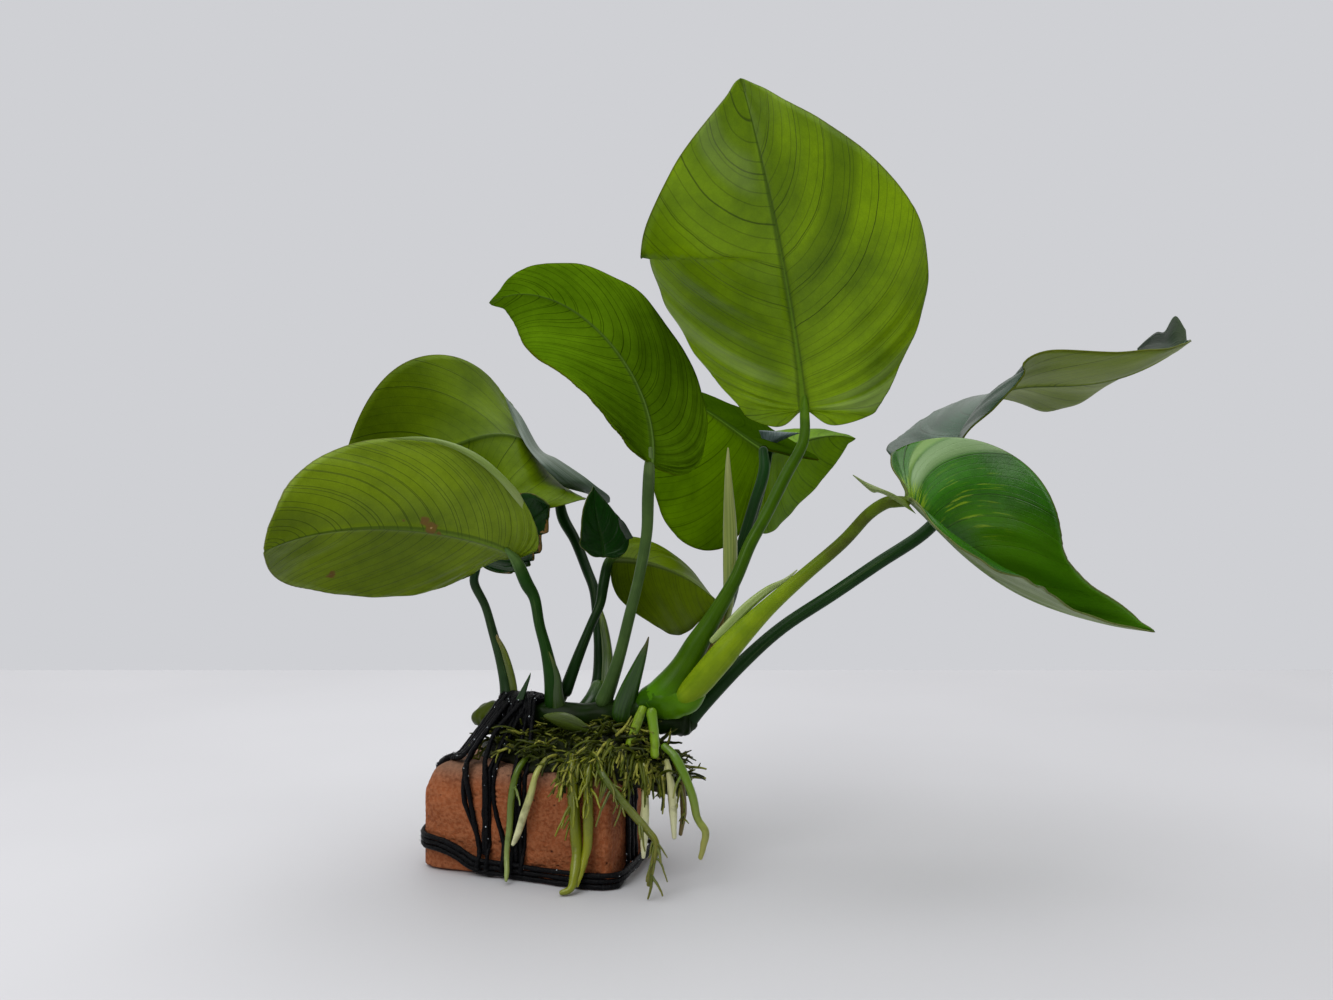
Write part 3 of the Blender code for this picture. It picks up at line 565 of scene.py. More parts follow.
def makeLeaf(name, leaf, seed):
    measureRib(leaf)
    finer = 1 if leaf["length"] < leafCut["small"] else 2  # small ones, half the faces each way
    rows = leafCut["rows"] * finer // 2
    columns = leafCut["columns"] * finer // 4 * 2
    shape = newShape()
    uvLayer = shape.loops.layers.uv["UVMap"]
    ribLayer = shape.verts.layers.float.new("ribShare")
    bmesh.ops.create_grid(shape, x_segments=columns, y_segments=rows, size=1)
    upper = set(shape.verts)
    grown = bmesh.ops.extrude_face_region(shape, geom=list(shape.faces), use_keep_orig=True)
    under = {v for v in grown["geom"] if isinstance(v, bmesh.types.BMVert)}
    ends = []
    for face in shape.faces:
        above = all(v in upper for v in face.verts)
        face.material_index = 0 if above else 1
        if not above and not all(v in under for v in face.verts):  # the rim
            if len({round(v.co.y, 4) for v in face.verts}) == 1:
                ends.append(face)
        for loop in face.loops:
            across, along = loop.vert.co.x, loop.vert.co.y
            share = copysign(abs(across) ** leafCut["spread"], across)
            loop[uvLayer].uv = (0.5 + 0.5 * share, 0.5 + 0.5 * along)
    bmesh.ops.delete(shape, geom=ends, context="FACES")
    for vertex in shape.verts:
        u, s = vertex.co.x, (vertex.co.y + 1) / 2
        spot, rib = shapedPoint(leaf, 1 if u >= 0 else -1, abs(u) ** leafCut["spread"], s,
                                vertex in under, seed)
        vertex.co = spot * mm
        vertex[ribLayer] = rib
    bmesh.ops.remove_doubles(shape, verts=shape.verts, dist=0.001 * mm)
    makePiece(name + "_blade", shape, [leafFinish(name, leaf, under) for under in (False, True)],
              "young_leaf" if name == "leaf_young" else "leaf", name)


for number, (name, leaf) in enumerate(leaves.items()):
    makeLeaf(name, {**usualLeaf, **leaf}, number * leafCut["seedStep"])
print("leaf blades done")


# Stalks, with a swelling at the foot of most of them.  Rows are x, y, z, radius; tones are
# low, dark and high; change is where low turns to high; foot is its colour, start and end.

stalks = {
    "stalk_tall": {
        "rows": ((37.6, -12.6, 53.4, 5.2), (41.6, -13, 56.6, 5.6), (46.4, -13, 63.5, 4.4),
            (50.5, -13.2, 71, 3.7), (56, -13.5, 80, 2.7), (62.5, -14, 91.5, 2.1), (67, -13, 102, 2),
            (72, -12, 111, 1.9), (78.5, -9, 123.5, 1.9), (84.5, -6, 134.5, 1.7), (85.5, -1.5, 144.5, 1.5),
            (85.6, -0.8, 150, 0.6)),
        "tones": ("#3c5e00", "#2c4c00", "#527808"), "foot": ("#487a06", 0.06, 0.2)},
    "stalk_middle": {
        "rows": ((21, -6, 52, 2.8), (23.5, -8, 58.5, 2.3), (26.5, -11, 68, 1.9), (29.5, -15, 80, 1.8),
            (32.5, -20, 92, 1.7), (35, -26, 105.5, 1.7), (35.5, -31, 116.5, 1.8), (36, -38, 125.5, 1.6),
            (36.3, -38.2, 131, 0.6)),
        "tones": ("#46602c", "#304820", "#586e3a")},
    "stalk_front_left": {
        "rows": ((4.5, -1, 50, 2.8), (4, -3, 59.5, 2.4), (2.5, -4, 68, 1.9), (0.5, -5, 76, 1.7),
            (-1, -5.5, 84.5, 1.8), (-3.5, -6.5, 89.5, 2.1), (-6.5, -7.5, 96.5, 1.8),
            (-9.5, -9.8, 100.5, 0.6)),
        "tones": ("#1c400c", "#143008", "#5c7c3c")},
    "stalk_back_left": {
        "rows": ((16, 5, 47.5, 2.8), (18.5, 9, 55.5, 2.4), (18.5, 15, 65.5, 2), (17.5, 21, 75.5, 1.9),
            (16, 27, 84.5, 1.8), (13, 32, 91.5, 1.8), (8.5, 38, 101.5, 1.9), (3.5, 43, 110, 2.1),
            (1.5, 47, 120, 1.4)),
        "tones": ("#143010", "#0e240c", "#1c4010")},
    "stalk_torn": {
        "rows": ((-11, 5.5, 50, 2.7), (-12, 7, 56, 2.1), (-14, 8, 64, 1.7), (-16.5, 8.5, 72.5, 1.5),
            (-19, 8.5, 81, 1.4), (-22.5, 8, 88.5, 1.5), (-21.5, 6.5, 94, 1.4)),
        "tones": ("#2c4424", "#1c3018", "#143818")},
    "stalk_low": {
        "rows": ((8, 3, 53.5, 2.2), (12, 4, 64.5, 1.8), (16, 6, 74.5, 1.5), (19, 8, 81.5, 1.6),
            (20, 9.5, 87.5, 1.8), (21.8, 11.8, 95.5, 1.6), (25.5, 13, 97.5, 0.6)),
        "tones": ("#14300c", "#0e2408", "#4c6c24")},
    "stalk_back": {
        "rows": ((44.5, -8, 49.5, 2.8), (47.5, -3, 54.5, 2.6), (53, 0, 65.5, 2.1), (57.5, 1.5, 75, 1.8),
            (61.5, 2.5, 83.5, 1.8), (65, 3.5, 99, 1.8), (69.5, 5, 114, 1.8), (73, 6, 125, 1.9),
            (73, 8, 132.5, 1.5)),
        "tones": ("#1c3c18", "#143010", "#1c4418")},
    "stalk_back_right": {
        "rows": ((46, -4.5, 46, 2.8), (47.5, 2, 53.5, 2.3), (53, 9, 64, 1.9), (58.5, 13, 73.5, 1.6),
            (63, 16, 83, 1.6), (67, 23, 98.5, 1.6), (72, 29, 113, 1.6), (75.5, 35, 124, 1.6),
            (77.8, 41.5, 133, 1.4)),
        "tones": ("#1c3c18", "#143010", "#1c4418")},
    "stalk_drooping": {
        "rows": ((43, -14, 51.8, 2.4), (48.8, -17.4, 57.3, 3.9), (57, -19, 67, 4.2), (63, -19.5, 74, 3.7),
            (72, -22, 83.5, 2.7), (82, -26, 93, 2.1), (93, -32, 103.5, 1.9), (99.5, -37, 111.5, 1.8),
            (104, -40, 115, 1.8), (107, -41.5, 115.5, 1.7), (110, -41.5, 115.5, 1.5)),
        "tones": ("#7c9410", "#5c780c", "#444e14"), "change": (0.42, 0.6),
        "foot": ("#548608", 0.06, 0.13)},
    "stalk_twisted": {
        "rows": ((47, -5, 44.5, 3), (52.5, -5, 51, 2.7), (65.5, -3, 64, 2.3), (78.5, -1, 75, 2.1),
            (95, 1, 85.5, 2.1), (110, 2, 95.5, 2.1), (124.5, 2.5, 105, 2.1), (132.5, 2.5, 114, 2),
            (135.5, 3, 123, 1.9), (136.3, 5, 132.5, 1.5)),
        "tones": ("#1a3814", "#102c0e", "#14380c"), "foot": ("#3c1c10", 0.02, 0.05)},
}


def stalkFinish(name, stalk):
    # Leaf stalk: waxy skin, smooth, with fine lengthwise lines under it
    low, dark, high = stalk["tones"]
    finish, add = newFinish(name + " skin")
    uv = add("uv")
    along = add("axes", uv)["X"]
    lines = add("noise", add("stretch", uv, (3, 26, 1)), 1, 3)
    blotch = add("step", add("noise", add("place"), perMetre(6.25), 3), 0.35, 0.65, 0, 0.5)
    colour = paint(add, low, (add("step", along, *stalk.get("change", (0.72, 0.86))), high),
                   (blotch, dark), (add("step", lines, 0.5, 0.75, 0, 0.45), dark),
                   (add("step", lines, 0.25, 0.42, 0.25, 0), "#88a060"))
    if "foot" in stalk:
        tint, start, end = stalk["foot"]
        colour = paint(add, colour, (add("step", along, start, end, 1, 0), tint))
    return dress(finish, colour, 0.35, 0.12, 1.45, (lines, 0.2 * mm, 0.5))


for name, stalk in stalks.items():
    makeTube(name + "_skin", stalk["rows"], 6, stalkFinish(name, stalk), "stalk", name, sides=20)
print("stalks done")


# Clay block

block = {"length": 62, "depth": 38, "height": 33, "turn": radians(-16.6),
         "wornEdge": 12, "edge": 3, "cuts": 61, "grooveDepth": 2.0, "grooveHalf": 1.2,
         "grooves": ((-16.0, -11.6), (-12.0, -8.4), (-9.0, -3.4), (-6.0, -0.4), (6.0, 3.4))}


def roundedPlace(place, half, radius):
    inner = Vector([max(-h + r, min(h - r, p)) for p, h, r in zip(place, half, radius)])
    offset = place - inner
    scaled = Vector([o / r if r else 0 for o, r in zip(offset, radius)])
    if scaled.length > 1e-6:
        scaled = scaled / max(scaled.length, 1.0)
    return inner + Vector([s * r for s, r in zip(scaled, radius)])


def clayFinish():
    # Fired clay: matt, gritty, broken open, with dark pores and a grey worn top
    finish, add = newFinish("fired clay")
    place = add("place")
    broad = add("step", add("noise", place, perMetre(14.286), 4), 0.35, 0.65)
    grain = add("step", add("noise", place, perMetre(1.1111), 3), 0.35, 0.65)
    holes = add("times", add("step", add("pores", place, perMetre(2.381)), 0.1, 0.24, 1, 0),
                add("step", add("noise", place, perMetre(4.1667), 2), 0.52, 0.62))
    worn = add("step", add("axes", place)["Z"], 26 * mm, 34 * mm, 0, 0.6)
    colour = paint(add, "#a05830", (broad, "#844420"), (add("times", grain, 0.4), "#b87850"),
                   (worn, "#7c6c5c"), (add("times", holes, 0.75), "#3c1c10"))
    relief = add("timesPlus", holes, -2, add("timesPlus", grain, 0.5, broad))
    return dress(finish, colour, 0.8, 0.3, bump=(relief, 0.4 * mm, 0.8))


def makeBlock():
    half = Vector((block["length"], block["depth"], block["height"])) / 2
    shape = bmesh.new()
    bmesh.ops.create_cube(shape, size=2)
    bmesh.ops.subdivide_edges(shape, edges=shape.edges, cuts=block["cuts"],
                              use_grid_fill=True)
    for vertex in shape.verts:
        spread = Vector([copysign(abs(c) ** 0.9, c) for c in vertex.co])
        place = Vector([c * h for c, h in zip(spread, half)])
        worn = max(0.0, -vertex.co.x)
        edge = block["edge"] + (block["wornEdge"] - block["edge"]) * min(1, worn * 1.6)
        upper = edge * 0.95 if place.z > 0 else 1.0
        moved = roundedPlace(place, half, Vector((edge * 0.7, 3 + edge * 0.15, upper)))
        outward = (moved - place * 0.7).normalized()
        if moved.z > -half.z + 0.6:
            dent = noise.noise(moved * 0.16) * 0.7
            dent += noise.noise(moved * 0.7) * 0.35 + noise.noise(moved * 1.9) * 0.16
            pit = noise.noise(moved * 1.3 + Vector((9, 4, 2)))
            dent -= max(0.0, pit - 0.42) * 3.0
            moved += outward * min(dent, 0.15)
        else:  # the thread's grooves in the underside
            for back, front in block["grooves"]:
                middle = front + (back - front) * clamp(moved.y / half.y * 0.5 + 0.5)
                off = (moved.x - middle) / block["grooveHalf"]
                moved.z += block["grooveDepth"] * exp(-off ** 4)
        moved.x *= 1.05 if moved.x < 0 else 1.0
        moved.y *= 1.045 if moved.y < 0 else 1.0
        vertex.co = onBlock(moved.x, moved.y, moved.z + half.z) * mm
    makePiece("clay_body", shape, [clayFinish()], "clay", "clay_block")


makeBlock()
print("block done")


# Sheaths, bracts and the rolled young leaf: flat, pointed tubes that hug a stalk

sheaths = {  # rows of x, y, z, half width; flat is thickness over width
    "sheath_torn": {
        "rows": ((-9.3, 4.5, 50.2, 1.1), (-8.9, 4.5, 52.8, 1.2), (-9.8, 5, 58, 1.2),
            (-11.4, 5.5, 63.5, 1.1), (-12.7, 6, 67, 0.9), (-14.5, 7, 70.2, 0.6), (-15.7, 8, 72.1, 0.2)),
        "flat": 0.8, "tones": ("#6c7820", "#44540c", "#8c6c40")},
    "sheath_front_left": {
        "rows": ((6.8, -2.5, 47.9, 2.6), (6.2, -3, 51.2, 2.2), (5.9, -3.5, 54.5, 1.9),
            (5.8, -4, 58.4, 1.6), (5, -4.5, 62.3, 1.2), (4.1, -5, 65.3, 0.7), (3.2, -5.5, 67.9, 0.3)),
        "flat": 0.7, "tones": ("#34500c", "#28400a", "#6c742c")},
    "sheath_low": {
        "rows": ((6.8, 4, 50, 1), (8.3, 4, 53.2, 1), (9.4, 4.5, 57.1, 1), (10.3, 5.5, 60.2, 0.8),
            (10.9, 6, 62.1, 0.3)),
        "flat": 0.8, "tones": ("#50641c", "#34480c", "#846438")},
    "sheath_back_left": {
        "rows": ((21.2, 3.5, 50.7, 2), (21.5, 5, 55.4, 2), (21.5, 9, 63, 1.8), (20.7, 14, 68.7, 1.6),
            (19.6, 18, 73.9, 1.3), (18.9, 19, 77.6, 0.7), (18.3, 20, 80.2, 0.3)),
        "flat": 0.8, "tones": ("#5c7420", "#2c4410", "#8c9c3c")},
    "foot_back_left": {
        "rows": ((10.9, 2, 46.7, 2), (14.2, 2, 48, 2.6), (17, 3, 51.1, 2.8), (18.5, 6, 54.9, 2.3)),
        "flat": 1, "tones": ("#244808", "#183408", "#3c5c14")},
    "bract_middle": {
        "rows": ((27.1, -12, 48.4, 3.4), (28, -12.5, 52.5, 3.4), (29.6, -13, 57.3, 2.9),
            (31.5, -13, 62.3, 2.2), (33.4, -13, 67.3, 1.4), (34.8, -13, 71, 0.6), (35.4, -13, 73.2, 0.2)),
        "flat": 0.6, "tones": ("#2c5008", "#1c3c04", "#5c4c20")},
    "bract_left": {
        "rows": ((-7.3, -3, 48.3, 1.3), (-6.5, -3, 50.5, 1.3), (-5.4, -3, 53.4, 1.1),
            (-4.1, -3, 56.6, 0.7), (-3.1, -3, 59, 0.4), (-2.6, -3, 60.5, 0.1)),
        "flat": 0.5, "tones": ("#1c4410", "#14300c", "#244c18")},
    "sheath_rolled": {
        "rows": ((53.5, -9, 67.1, 0.7), (55.4, -9, 70.9, 1.3), (57.9, -9, 75.3, 1.6),
            (59.5, -9, 80.3, 1.5), (60.3, -9, 84.8, 0.9), (60.7, -9, 89.2, 0.5)),
        "flat": 0.8, "tones": ("#b8a468", "#94743c", "#a8a054")},
    "wing_drooping": {
        "rows": ((55, -18, 72.6, 0.9), (59.6, -18, 76.9, 1.5), (66, -19, 83.5, 1.5),
            (72.1, -20, 88.5, 1.2), (77, -23, 91.7, 0.6), (80.4, -25, 94.9, 0.2)),
        "flat": 0.35, "tones": ("#a8b878", "#88a048", "#c0c8a0")},
}


def sheathFinish(name, tones):
    # Leaf sheath: thin and ribbed lengthwise, drying to straw colour at its tip
    base, dark, tip = tones
    finish, add = newFinish(name + " skin")
    uv = add("uv")
    lines = add("noise", add("stretch", uv, (1.5, 22, 1)), 1, 2)
    colour = paint(add, base, (add("step", lines, 0.35, 0.65), dark),
                   (add("step", add("axes", uv)["X"], 0.6, 0.97, 0, 0.85), tip))
    return dress(finish, colour, 0.35, bump=(lines, 0.3 * mm, 0.6))


def flatRing(flat):  # an ellipse, widest to the sides
    return lambda share, angle: flat / hypot(flat * cos(angle), sin(angle))


for name, sheath in sheaths.items():
    nodes = [name] if name.startswith("bract") else []
    makeTube(name + "_skin", sheath["rows"], 5, sheathFinish(name, sheath["tones"]), "bract",
             *nodes, mould=flatRing(sheath["flat"]), side=Vector((1, 0, 0)))

# Flaps: where a margin curls over and shows its other face, each between two edge lines

flapThickness = 0.45
flaps = {
    "flap_back_left": {
        "first": ((-18.4, 50, 154), (-14, 42, 144.4), (-8.1, 30, 135.1), (-2, 22, 128.3), (4, 26, 121.9),
            (6.5, 31, 120), (13.9, 36, 117.8), (19.1, 40, 114.3)),
        "second": ((-18.4, 50, 154), (-11.6, 44, 146.4), (-4.1, 38, 134.3), (2.6, 33, 130.5),
            (11.2, 34, 124.8), (16, 36, 121), (20.3, 40, 117.6), (20.7, 42, 115.3)),
        "bulge": 2, "tones": ("#5c6c60", "#30482c", "#64706c")},
    "flap_twisted": {
        "first": ((186.1, -18, 161.4), (192.1, -11, 162.2), (200.2, -1, 163.6), (207.6, 7, 165),
            (212, 11, 166.2), (216.2, 15, 168.6)),
        "second": ((186.1, -18, 162.8), (191.8, -11, 166.4), (199.2, -1, 170.2), (205.3, 7, 171.6),
            (210.5, 11, 177.3), (215.8, 15, 173.2)),
        "bulge": -2, "tones": ("#445844", "#243c20", "#3c5424")},
    "flap_back_right": {
        "first": ((73.8, 36, 140.8), (74.9, 36, 137.3), (74.9, 36, 134.4)),
        "second": ((88.7, 36, 139.8), (84.8, 36, 138.4), (75.2, 36, 134.1)), "bulge": 1,
        "tones": ("#68787c", "#485c58", "#68787c")},
    "flap_front_left": {
        "first": ((-43.8, -21.8, 134.7), (-35.8, -20.6, 135.4), (-29, -19.7, 134.7), (-22, -19.4, 132.6),
            (-15.1, -19.6, 128.9), (-8.8, -19.8, 123.4), (-4, -18.6, 117.7), (-0.7, -15.2, 109.8)),
        "second": ((-43.8, -21.8, 134.7), (-35.8, -20.6, 134.2), (-29.2, -19.7, 133.3),
            (-22.8, -19.4, 130.9), (-16.3, -19.6, 127), (-10.3, -19.8, 121.8), (-5.7, -18.6, 116.2),
            (-0.7, -15.2, 109.8)),
        "bulge": 0.5, "tones": ("#7c9444", "#6a8228", "#8c9c58")},
    "flap_young": {
        "first": ((23, 8, 110.7), (26.7, 7, 109.1), (30, 6, 103.8)),
        "second": ((23.7, 8, 103.4), (26.3, 7, 102.5), (30, 6, 103.5)), "bulge": 0.2,
        "tones": ("#0c2808", "#061c04", "#143410")},
    "flap_drooping": {
        "first": ((93.9, -46, 123.2), (97.6, -46, 121.1), (101.5, -46, 119.4), (105.1, -45, 118),
            (109.2, -44.5, 115.7)),
        "second": ((93.9, -46, 122.9), (99, -46, 118.4), (101.2, -46, 118.1), (104.6, -45, 116.7),
            (112.1, -44.5, 112)),
        "bulge": 0.8, "tones": ("#90a060", "#5c7030", "#5c7414")},
}


def makeFlap(name, flap):
    shape = newShape()
    first, second = [smoothPath([(*place, 1) for place in flap[edge]], 6)
                     for edge in ("first", "second")]
    rows = len(first) - 1
    bmesh.ops.create_grid(shape, x_segments=rows, y_segments=12, size=1, calc_uvs=True)
    near = set(shape.verts)
    bmesh.ops.extrude_face_region(shape, geom=list(shape.faces), use_keep_orig=True)
    for vertex in shape.verts:
        i, share = round((vertex.co.x + 1) / 2 * rows), (vertex.co.y + 1) / 2
        place = first[i].xyz.lerp(second[i].xyz, share)
        place.y -= flap["bulge"] * sin(pi * share) * sin(pi * i / rows)
        place.y += 0 if vertex in near else flapThickness
        vertex.co = place * mm
    bmesh.ops.remove_doubles(shape, verts=shape.verts, dist=0.02 * mm)
    makePiece(name, shape, [sheathFinish(name, flap["tones"])], "leaf")


for name, flap in flaps.items():
    makeFlap(name, flap)

rolledLeaf = {
    "rows": ((47.5, -10, 59, 1), (51, -6, 64, 1.4), (55.5, -7.5, 70, 1.6), (59, -8.5, 78, 1.9),
        (60.5, -8.5, 85, 2), (61, -8, 97, 2.5), (61, -7, 108, 2.4), (60.7, -7, 118, 1.7),
        (60.5, -6.5, 127, 0.9), (60.6, -6, 132.5, 0.25)),
    "overlap": 0.2, "tones": ("#94a050", "#6c8030", "#a8ac6c")
}


def spiralRing(share, angle):  # the free edge of the roll stands over the layer below it
    turn = angle / (2 * pi)
    return 1 - rolledLeaf["overlap"] * (turn / 0.93 if turn < 0.93 else (1 - turn) / 0.07)


makeTube("leaf_rolled_blade", rolledLeaf["rows"], 8,
         sheathFinish("rolled leaf", rolledLeaf["tones"]), "young_leaf", "leaf_rolled",
         sides=30, mould=spiralRing, side=Vector((0.35, -1, 0)))

oldScale = {"place": (10, -11.2, 45.8), "half": (8.4, 1.1, 3), "turn": (20, 15, -14),
            "tones": ("#4c6010", "#3c4c0c", "#5c6c1c")}
shape = newShape()
turn = Euler([radians(a) for a in oldScale["turn"]]).to_matrix()
made = bmesh.ops.create_uvsphere(shape, u_segments=36, v_segments=18, radius=1, calc_uvs=True)
for vertex in made["verts"]:
    place = Vector([c * h for c, h in zip(vertex.co, oldScale["half"])])
    place.z *= 1 - 0.5 * vertex.co.x ** 2
    place.z += 0.7 * (1 - vertex.co.x ** 2)
    vertex.co = (turn @ place + Vector(oldScale["place"])) * mm
makePiece("old_scale", shape, [sheathFinish("old scale", oldScale["tones"])], "bract",
          "bract_flat")
print("sheaths and bracts done")


# Rhizome: the creeping stem, with a knob at its left end, its end, darkened with painted shade on its
# lower side, and the crown at its right.  Rows are x, y, z, radius.

rhizome = {
    "rows": ((-21, 6, 44.5, 2.6), (-18, 5.3, 45, 4.4), (-14, 4.5, 45.5, 4.6), (-9, 3, 46, 4.4),
        (0, 1, 46.5, 4.3), (10, -2, 46.5, 4.4), (20, -5, 47, 4.6), (28, -7.5, 48.5, 4.8),
        (34, -10, 50.5, 5.2)),
    "end": ((33, -9, 48, 3.2), (38, -8, 47, 4.4), (43, -6.5, 46, 4.6), (47, -5.3, 45, 4.2),
        (49, -5, 45, 2.6)),
    "crown": ((31.8, -11.5, 51.6, 2.2), (35.5, -12, 53, 4.8), (39.5, -12.5, 53.7, 6.2),
        (43.8, -13.5, 53.7, 5.9), (47.5, -15.5, 54.2, 4.4), (50, -17, 56.5, 3.4))
}


def rhizomeFinish():
    # Rhizome: firm green stem, ringed by old leaf scars, brown and dark where it is old, with painted
    # shade on the lower side of its right end, below the crown
    finish, add = newFinish("rhizome skin")
    place = add("place")
    axes = add("axes", place)
    x, z = axes["X"], axes["Z"]
    blotch = add("step", add("noise", place, perMetre(5.263), 4), 0.38, 0.62, 0, 0.55)
    # painted shade: darker on the lower side of the right end, below the crown
    under = add("times", add("step", z, 47 * mm, 50 * mm, 0.8, 0),
                add("step", x, 36 * mm, 40 * mm))
    colour = paint(add, "#142606", (add("step", x, 28 * mm, 37 * mm), "#2a5206"),
                   (blotch, "#141c06"), (add("step", x, -17 * mm, -12 * mm, 0.8, 0), "#445008"),
                   (under, "#101a06"))
    rings = add("rings", place, 0.314 * perMetre(7.85), 3)  # a wave is 0.314 of its scale
    relief = add("times", rings, add("step", x, 26 * mm, 33 * mm, 1, 0.1))
    return dress(finish, colour, 0.3, 0.08, bump=(relief, 0.3 * mm, 0.4))


def knobbly(amount, seed):
    def mould(share, angle):
        chart = Vector((share * 9, cos(angle), sin(angle) + seed))
        return 1 + amount * noise.noise(chart * 1.6)
    return mould


def crownFinish():
    # Crown: the fresh leaf bases, smooth, bright and glossy
    finish, add = newFinish("crown skin")
    place = add("place")
    blotch = add("step", add("noise", place, perMetre(11.111), 2), 0.35, 0.65, 0, 0.5)
    fine = add("noise", place, perMetre(2), 3)
    fresh = add("step", add("axes", place)["X"], 34 * mm, 47 * mm)
    colour = paint(add, "#2c5402", (fresh, "#5c8c08"), (blotch, "#345c00"),
                   (add("step", fine, 0.55, 0.8, 0, 0.3), "#284c08"))
    return dress(finish, colour, 0.3, 0.1, bump=(fine, 0.1 * mm, 0.4))


shape = newShape()
addTube(shape, smoothPath(rhizome["rows"], 6), 28, knobbly(0.16, 0))
addTube(shape, smoothPath(rhizome["end"], 6), 20, knobbly(0.16, 2))
makePiece("rhizome_skin", shape, [rhizomeFinish()], "rhizome", "rhizome")
makeTube("crown_skin", rhizome["crown"], 6, crownFinish(), "stalk", sides=28,
         mould=knobbly(0.06, 4))
print("rhizome done")


# Roots.  Rows are along the block, out from its front face, height and radius.

roots = {
    "root_green": {
        "rows": ((3.5, -4, 38, 0.8), (1.5, 2.2, 33, 1), (0, 3.2, 24.5, 1.1), (-0.5, 3.4, 15.5, 1),
            (-1, 4.3, 9, 0.9), (0, 6.5, 4, 0.8), (0.5, 8, 1.5, 0.5)),
        "tones": ("#4c6408", "#8c9c54"), "twigs": 2},
    "root_cream": {
        "rows": ((9.5, -3.5, 37.5, 0.7), (8, 2.4, 33, 0.9), (6.5, 3.2, 27, 1.1), (4.6, 3.9, 21, 1.2),
            (2.8, 4.4, 15, 1.1), (1.2, 4.6, 11.5, 0.6)),
        "tones": ("#a8ac58", "#d8d8a8"), "twigs": 0},
    "root_cluster_left": {
        "rows": ((18, -2, 38.5, 0.9), (19.5, 2.4, 34, 1.4), (20.6, 3.2, 21.5, 1.7), (22, 5, 11.5, 1.6),
            (22.6, 8.5, 5.5, 1.4), (22.2, 10.5, 2, 1.1), (19.8, 12, 1, 0.7)),
        "tones": ("#646c0a", "#7c840c"), "twigs": 20},
    "root_cluster_right": {
        "rows": ((24, -2.5, 38, 0.9), (24.6, 2.2, 34, 1.2), (25, 3.2, 22, 1.6), (25, 4, 13, 1.4),
            (24.2, 6.5, 6.5, 1), (23.6, 9, 2.5, 0.6)),
        "tones": ("#666e0a", "#8c9014"), "twigs": 16},
    "root_slanting": {
        "rows": ((26, -1, 38, 0.9), (29.5, 2.6, 34, 1.1), (34.5, 3.6, 28.5, 1.2), (39, 4.2, 24, 1.2),
            (44, 5, 19.5, 1.1), (47, 5.5, 16, 1), (46, 6, 10, 0.9), (45, 6.5, 4, 0.7)),
        "tones": ("#4c5c0c", "#70701c"), "twigs": 30},
    "root_pale_front": {
        "rows": ((39.5, -5.5, 36, 0.7), (40.5, -4, 31, 0.8), (40.5, -4, 23, 1.3), (40.2, -4, 15, 1.2),
            (40, -4, 8.5, 0.6)),
        "tones": ("#c8cc88", "#e0e0b4"), "twigs": 0},
    "root_pale_back": {
        "rows": ((45.5, -10, 36.5, 0.8), (47, -8, 33, 1), (48, -8, 24, 1.3), (48.5, -8, 14, 0.7)),
        "tones": ("#b8b878", "#dcdcb0"), "twigs": 1},
    "root_brown": {
        "rows": ((46.5, -15.5, 34.5, 0.8), (48.5, -15, 30, 0.9), (49.5, -15, 21, 1),
            (48.5, -15, 13, 0.6)),
        "tones": ("#5c4c18", "#74642c"), "twigs": 3},
    "root_long": {
        "rows": ((45.5, -7.5, 41.5, 1.1), (49.5, -6, 38.5, 1.3), (54.5, -5, 29.5, 1.3),
            (56.5, -5, 21.5, 1.2), (59, -5, 17.5, 1.2), (58.5, -5, 13.5, 1), (57.5, -5, 9.5, 0.7)),
        "tones": ("#587c10", "#9c9c4c"), "twigs": 1},
    "root_crown_left": {
        "rows": ((38, -9.5, 52, 1.4), (36, -8.5, 46.5, 1.5), (34.3, -7.4, 41, 1.2)),
        "tones": ("#7c9c14", "#88a81c"), "twigs": 0},
    "root_crown_right": {
        "rows": ((41, -9, 51.5, 1.6), (42, -8.5, 44.5, 1.5), (42.5, -7.5, 38.5, 1.3)),
        "tones": ("#6c9410", "#84a81c"), "twigs": 0},
}
paleRoots = ("root_cream", "root_pale_front", "root_pale_back")


def rootFinish(name, tones):
    # Root: firm and wet, translucent green to cream, smooth with faint cross rings
    finish, add = newFinish(name + " skin")
    uv = add("uv")
    patches = add("noise", add("place"), perMetre(3.846), 3)
    rings = add("noise", add("stretch", uv, (60, 3, 1)), 1, 2)
    colour = paint(add, tones[0], (add("step", add("axes", uv)["X"], 0.2, 0.85), tones[1]),
                   (add("step", patches, 0.5, 0.75, 0, 0.5), "#4c5010"))
    return dress(finish, colour, 0.3, bump=(rings, 0.25 * mm, 0.5))


def addRootlet(shape, start, heading, steps, stride, radius, sag, chance):
    place, ahead = start.copy(), heading.normalized()
    rows = [Vector((*place, radius))]
    for i in range(steps):
        ahead.z -= sag
        ahead += Vector([chance.uniform(-0.22, 0.22) for axis in range(3)])
        ahead.normalize()
        place = place + ahead * stride
        local = Matrix.Rotation(-block["turn"], 3, "Z") @ place
        top = moundHeight(local.x, local.y)
        if local.z < top - 3:  # it has run into the block's side
            break
        if local.z < top + radius:
            place.z += top + radius - local.z
            ahead.z = max(ahead.z, 0.0)
        place.z = max(place.z, radius)
        rows.append(Vector((*place, radius * (1 - 0.55 * (i + 1) / steps))))
    if len(rows) > 2:
        addTube(shape, rows, 5)
    return rows


# The mat is a mound on the block: long, deep to the back, wider to the front, from foot up.
# It has a lump below the crown, a hollow at its front and sags past the block's right end.
# Lump and hollow are place, width and height; sag is start, length and depth.

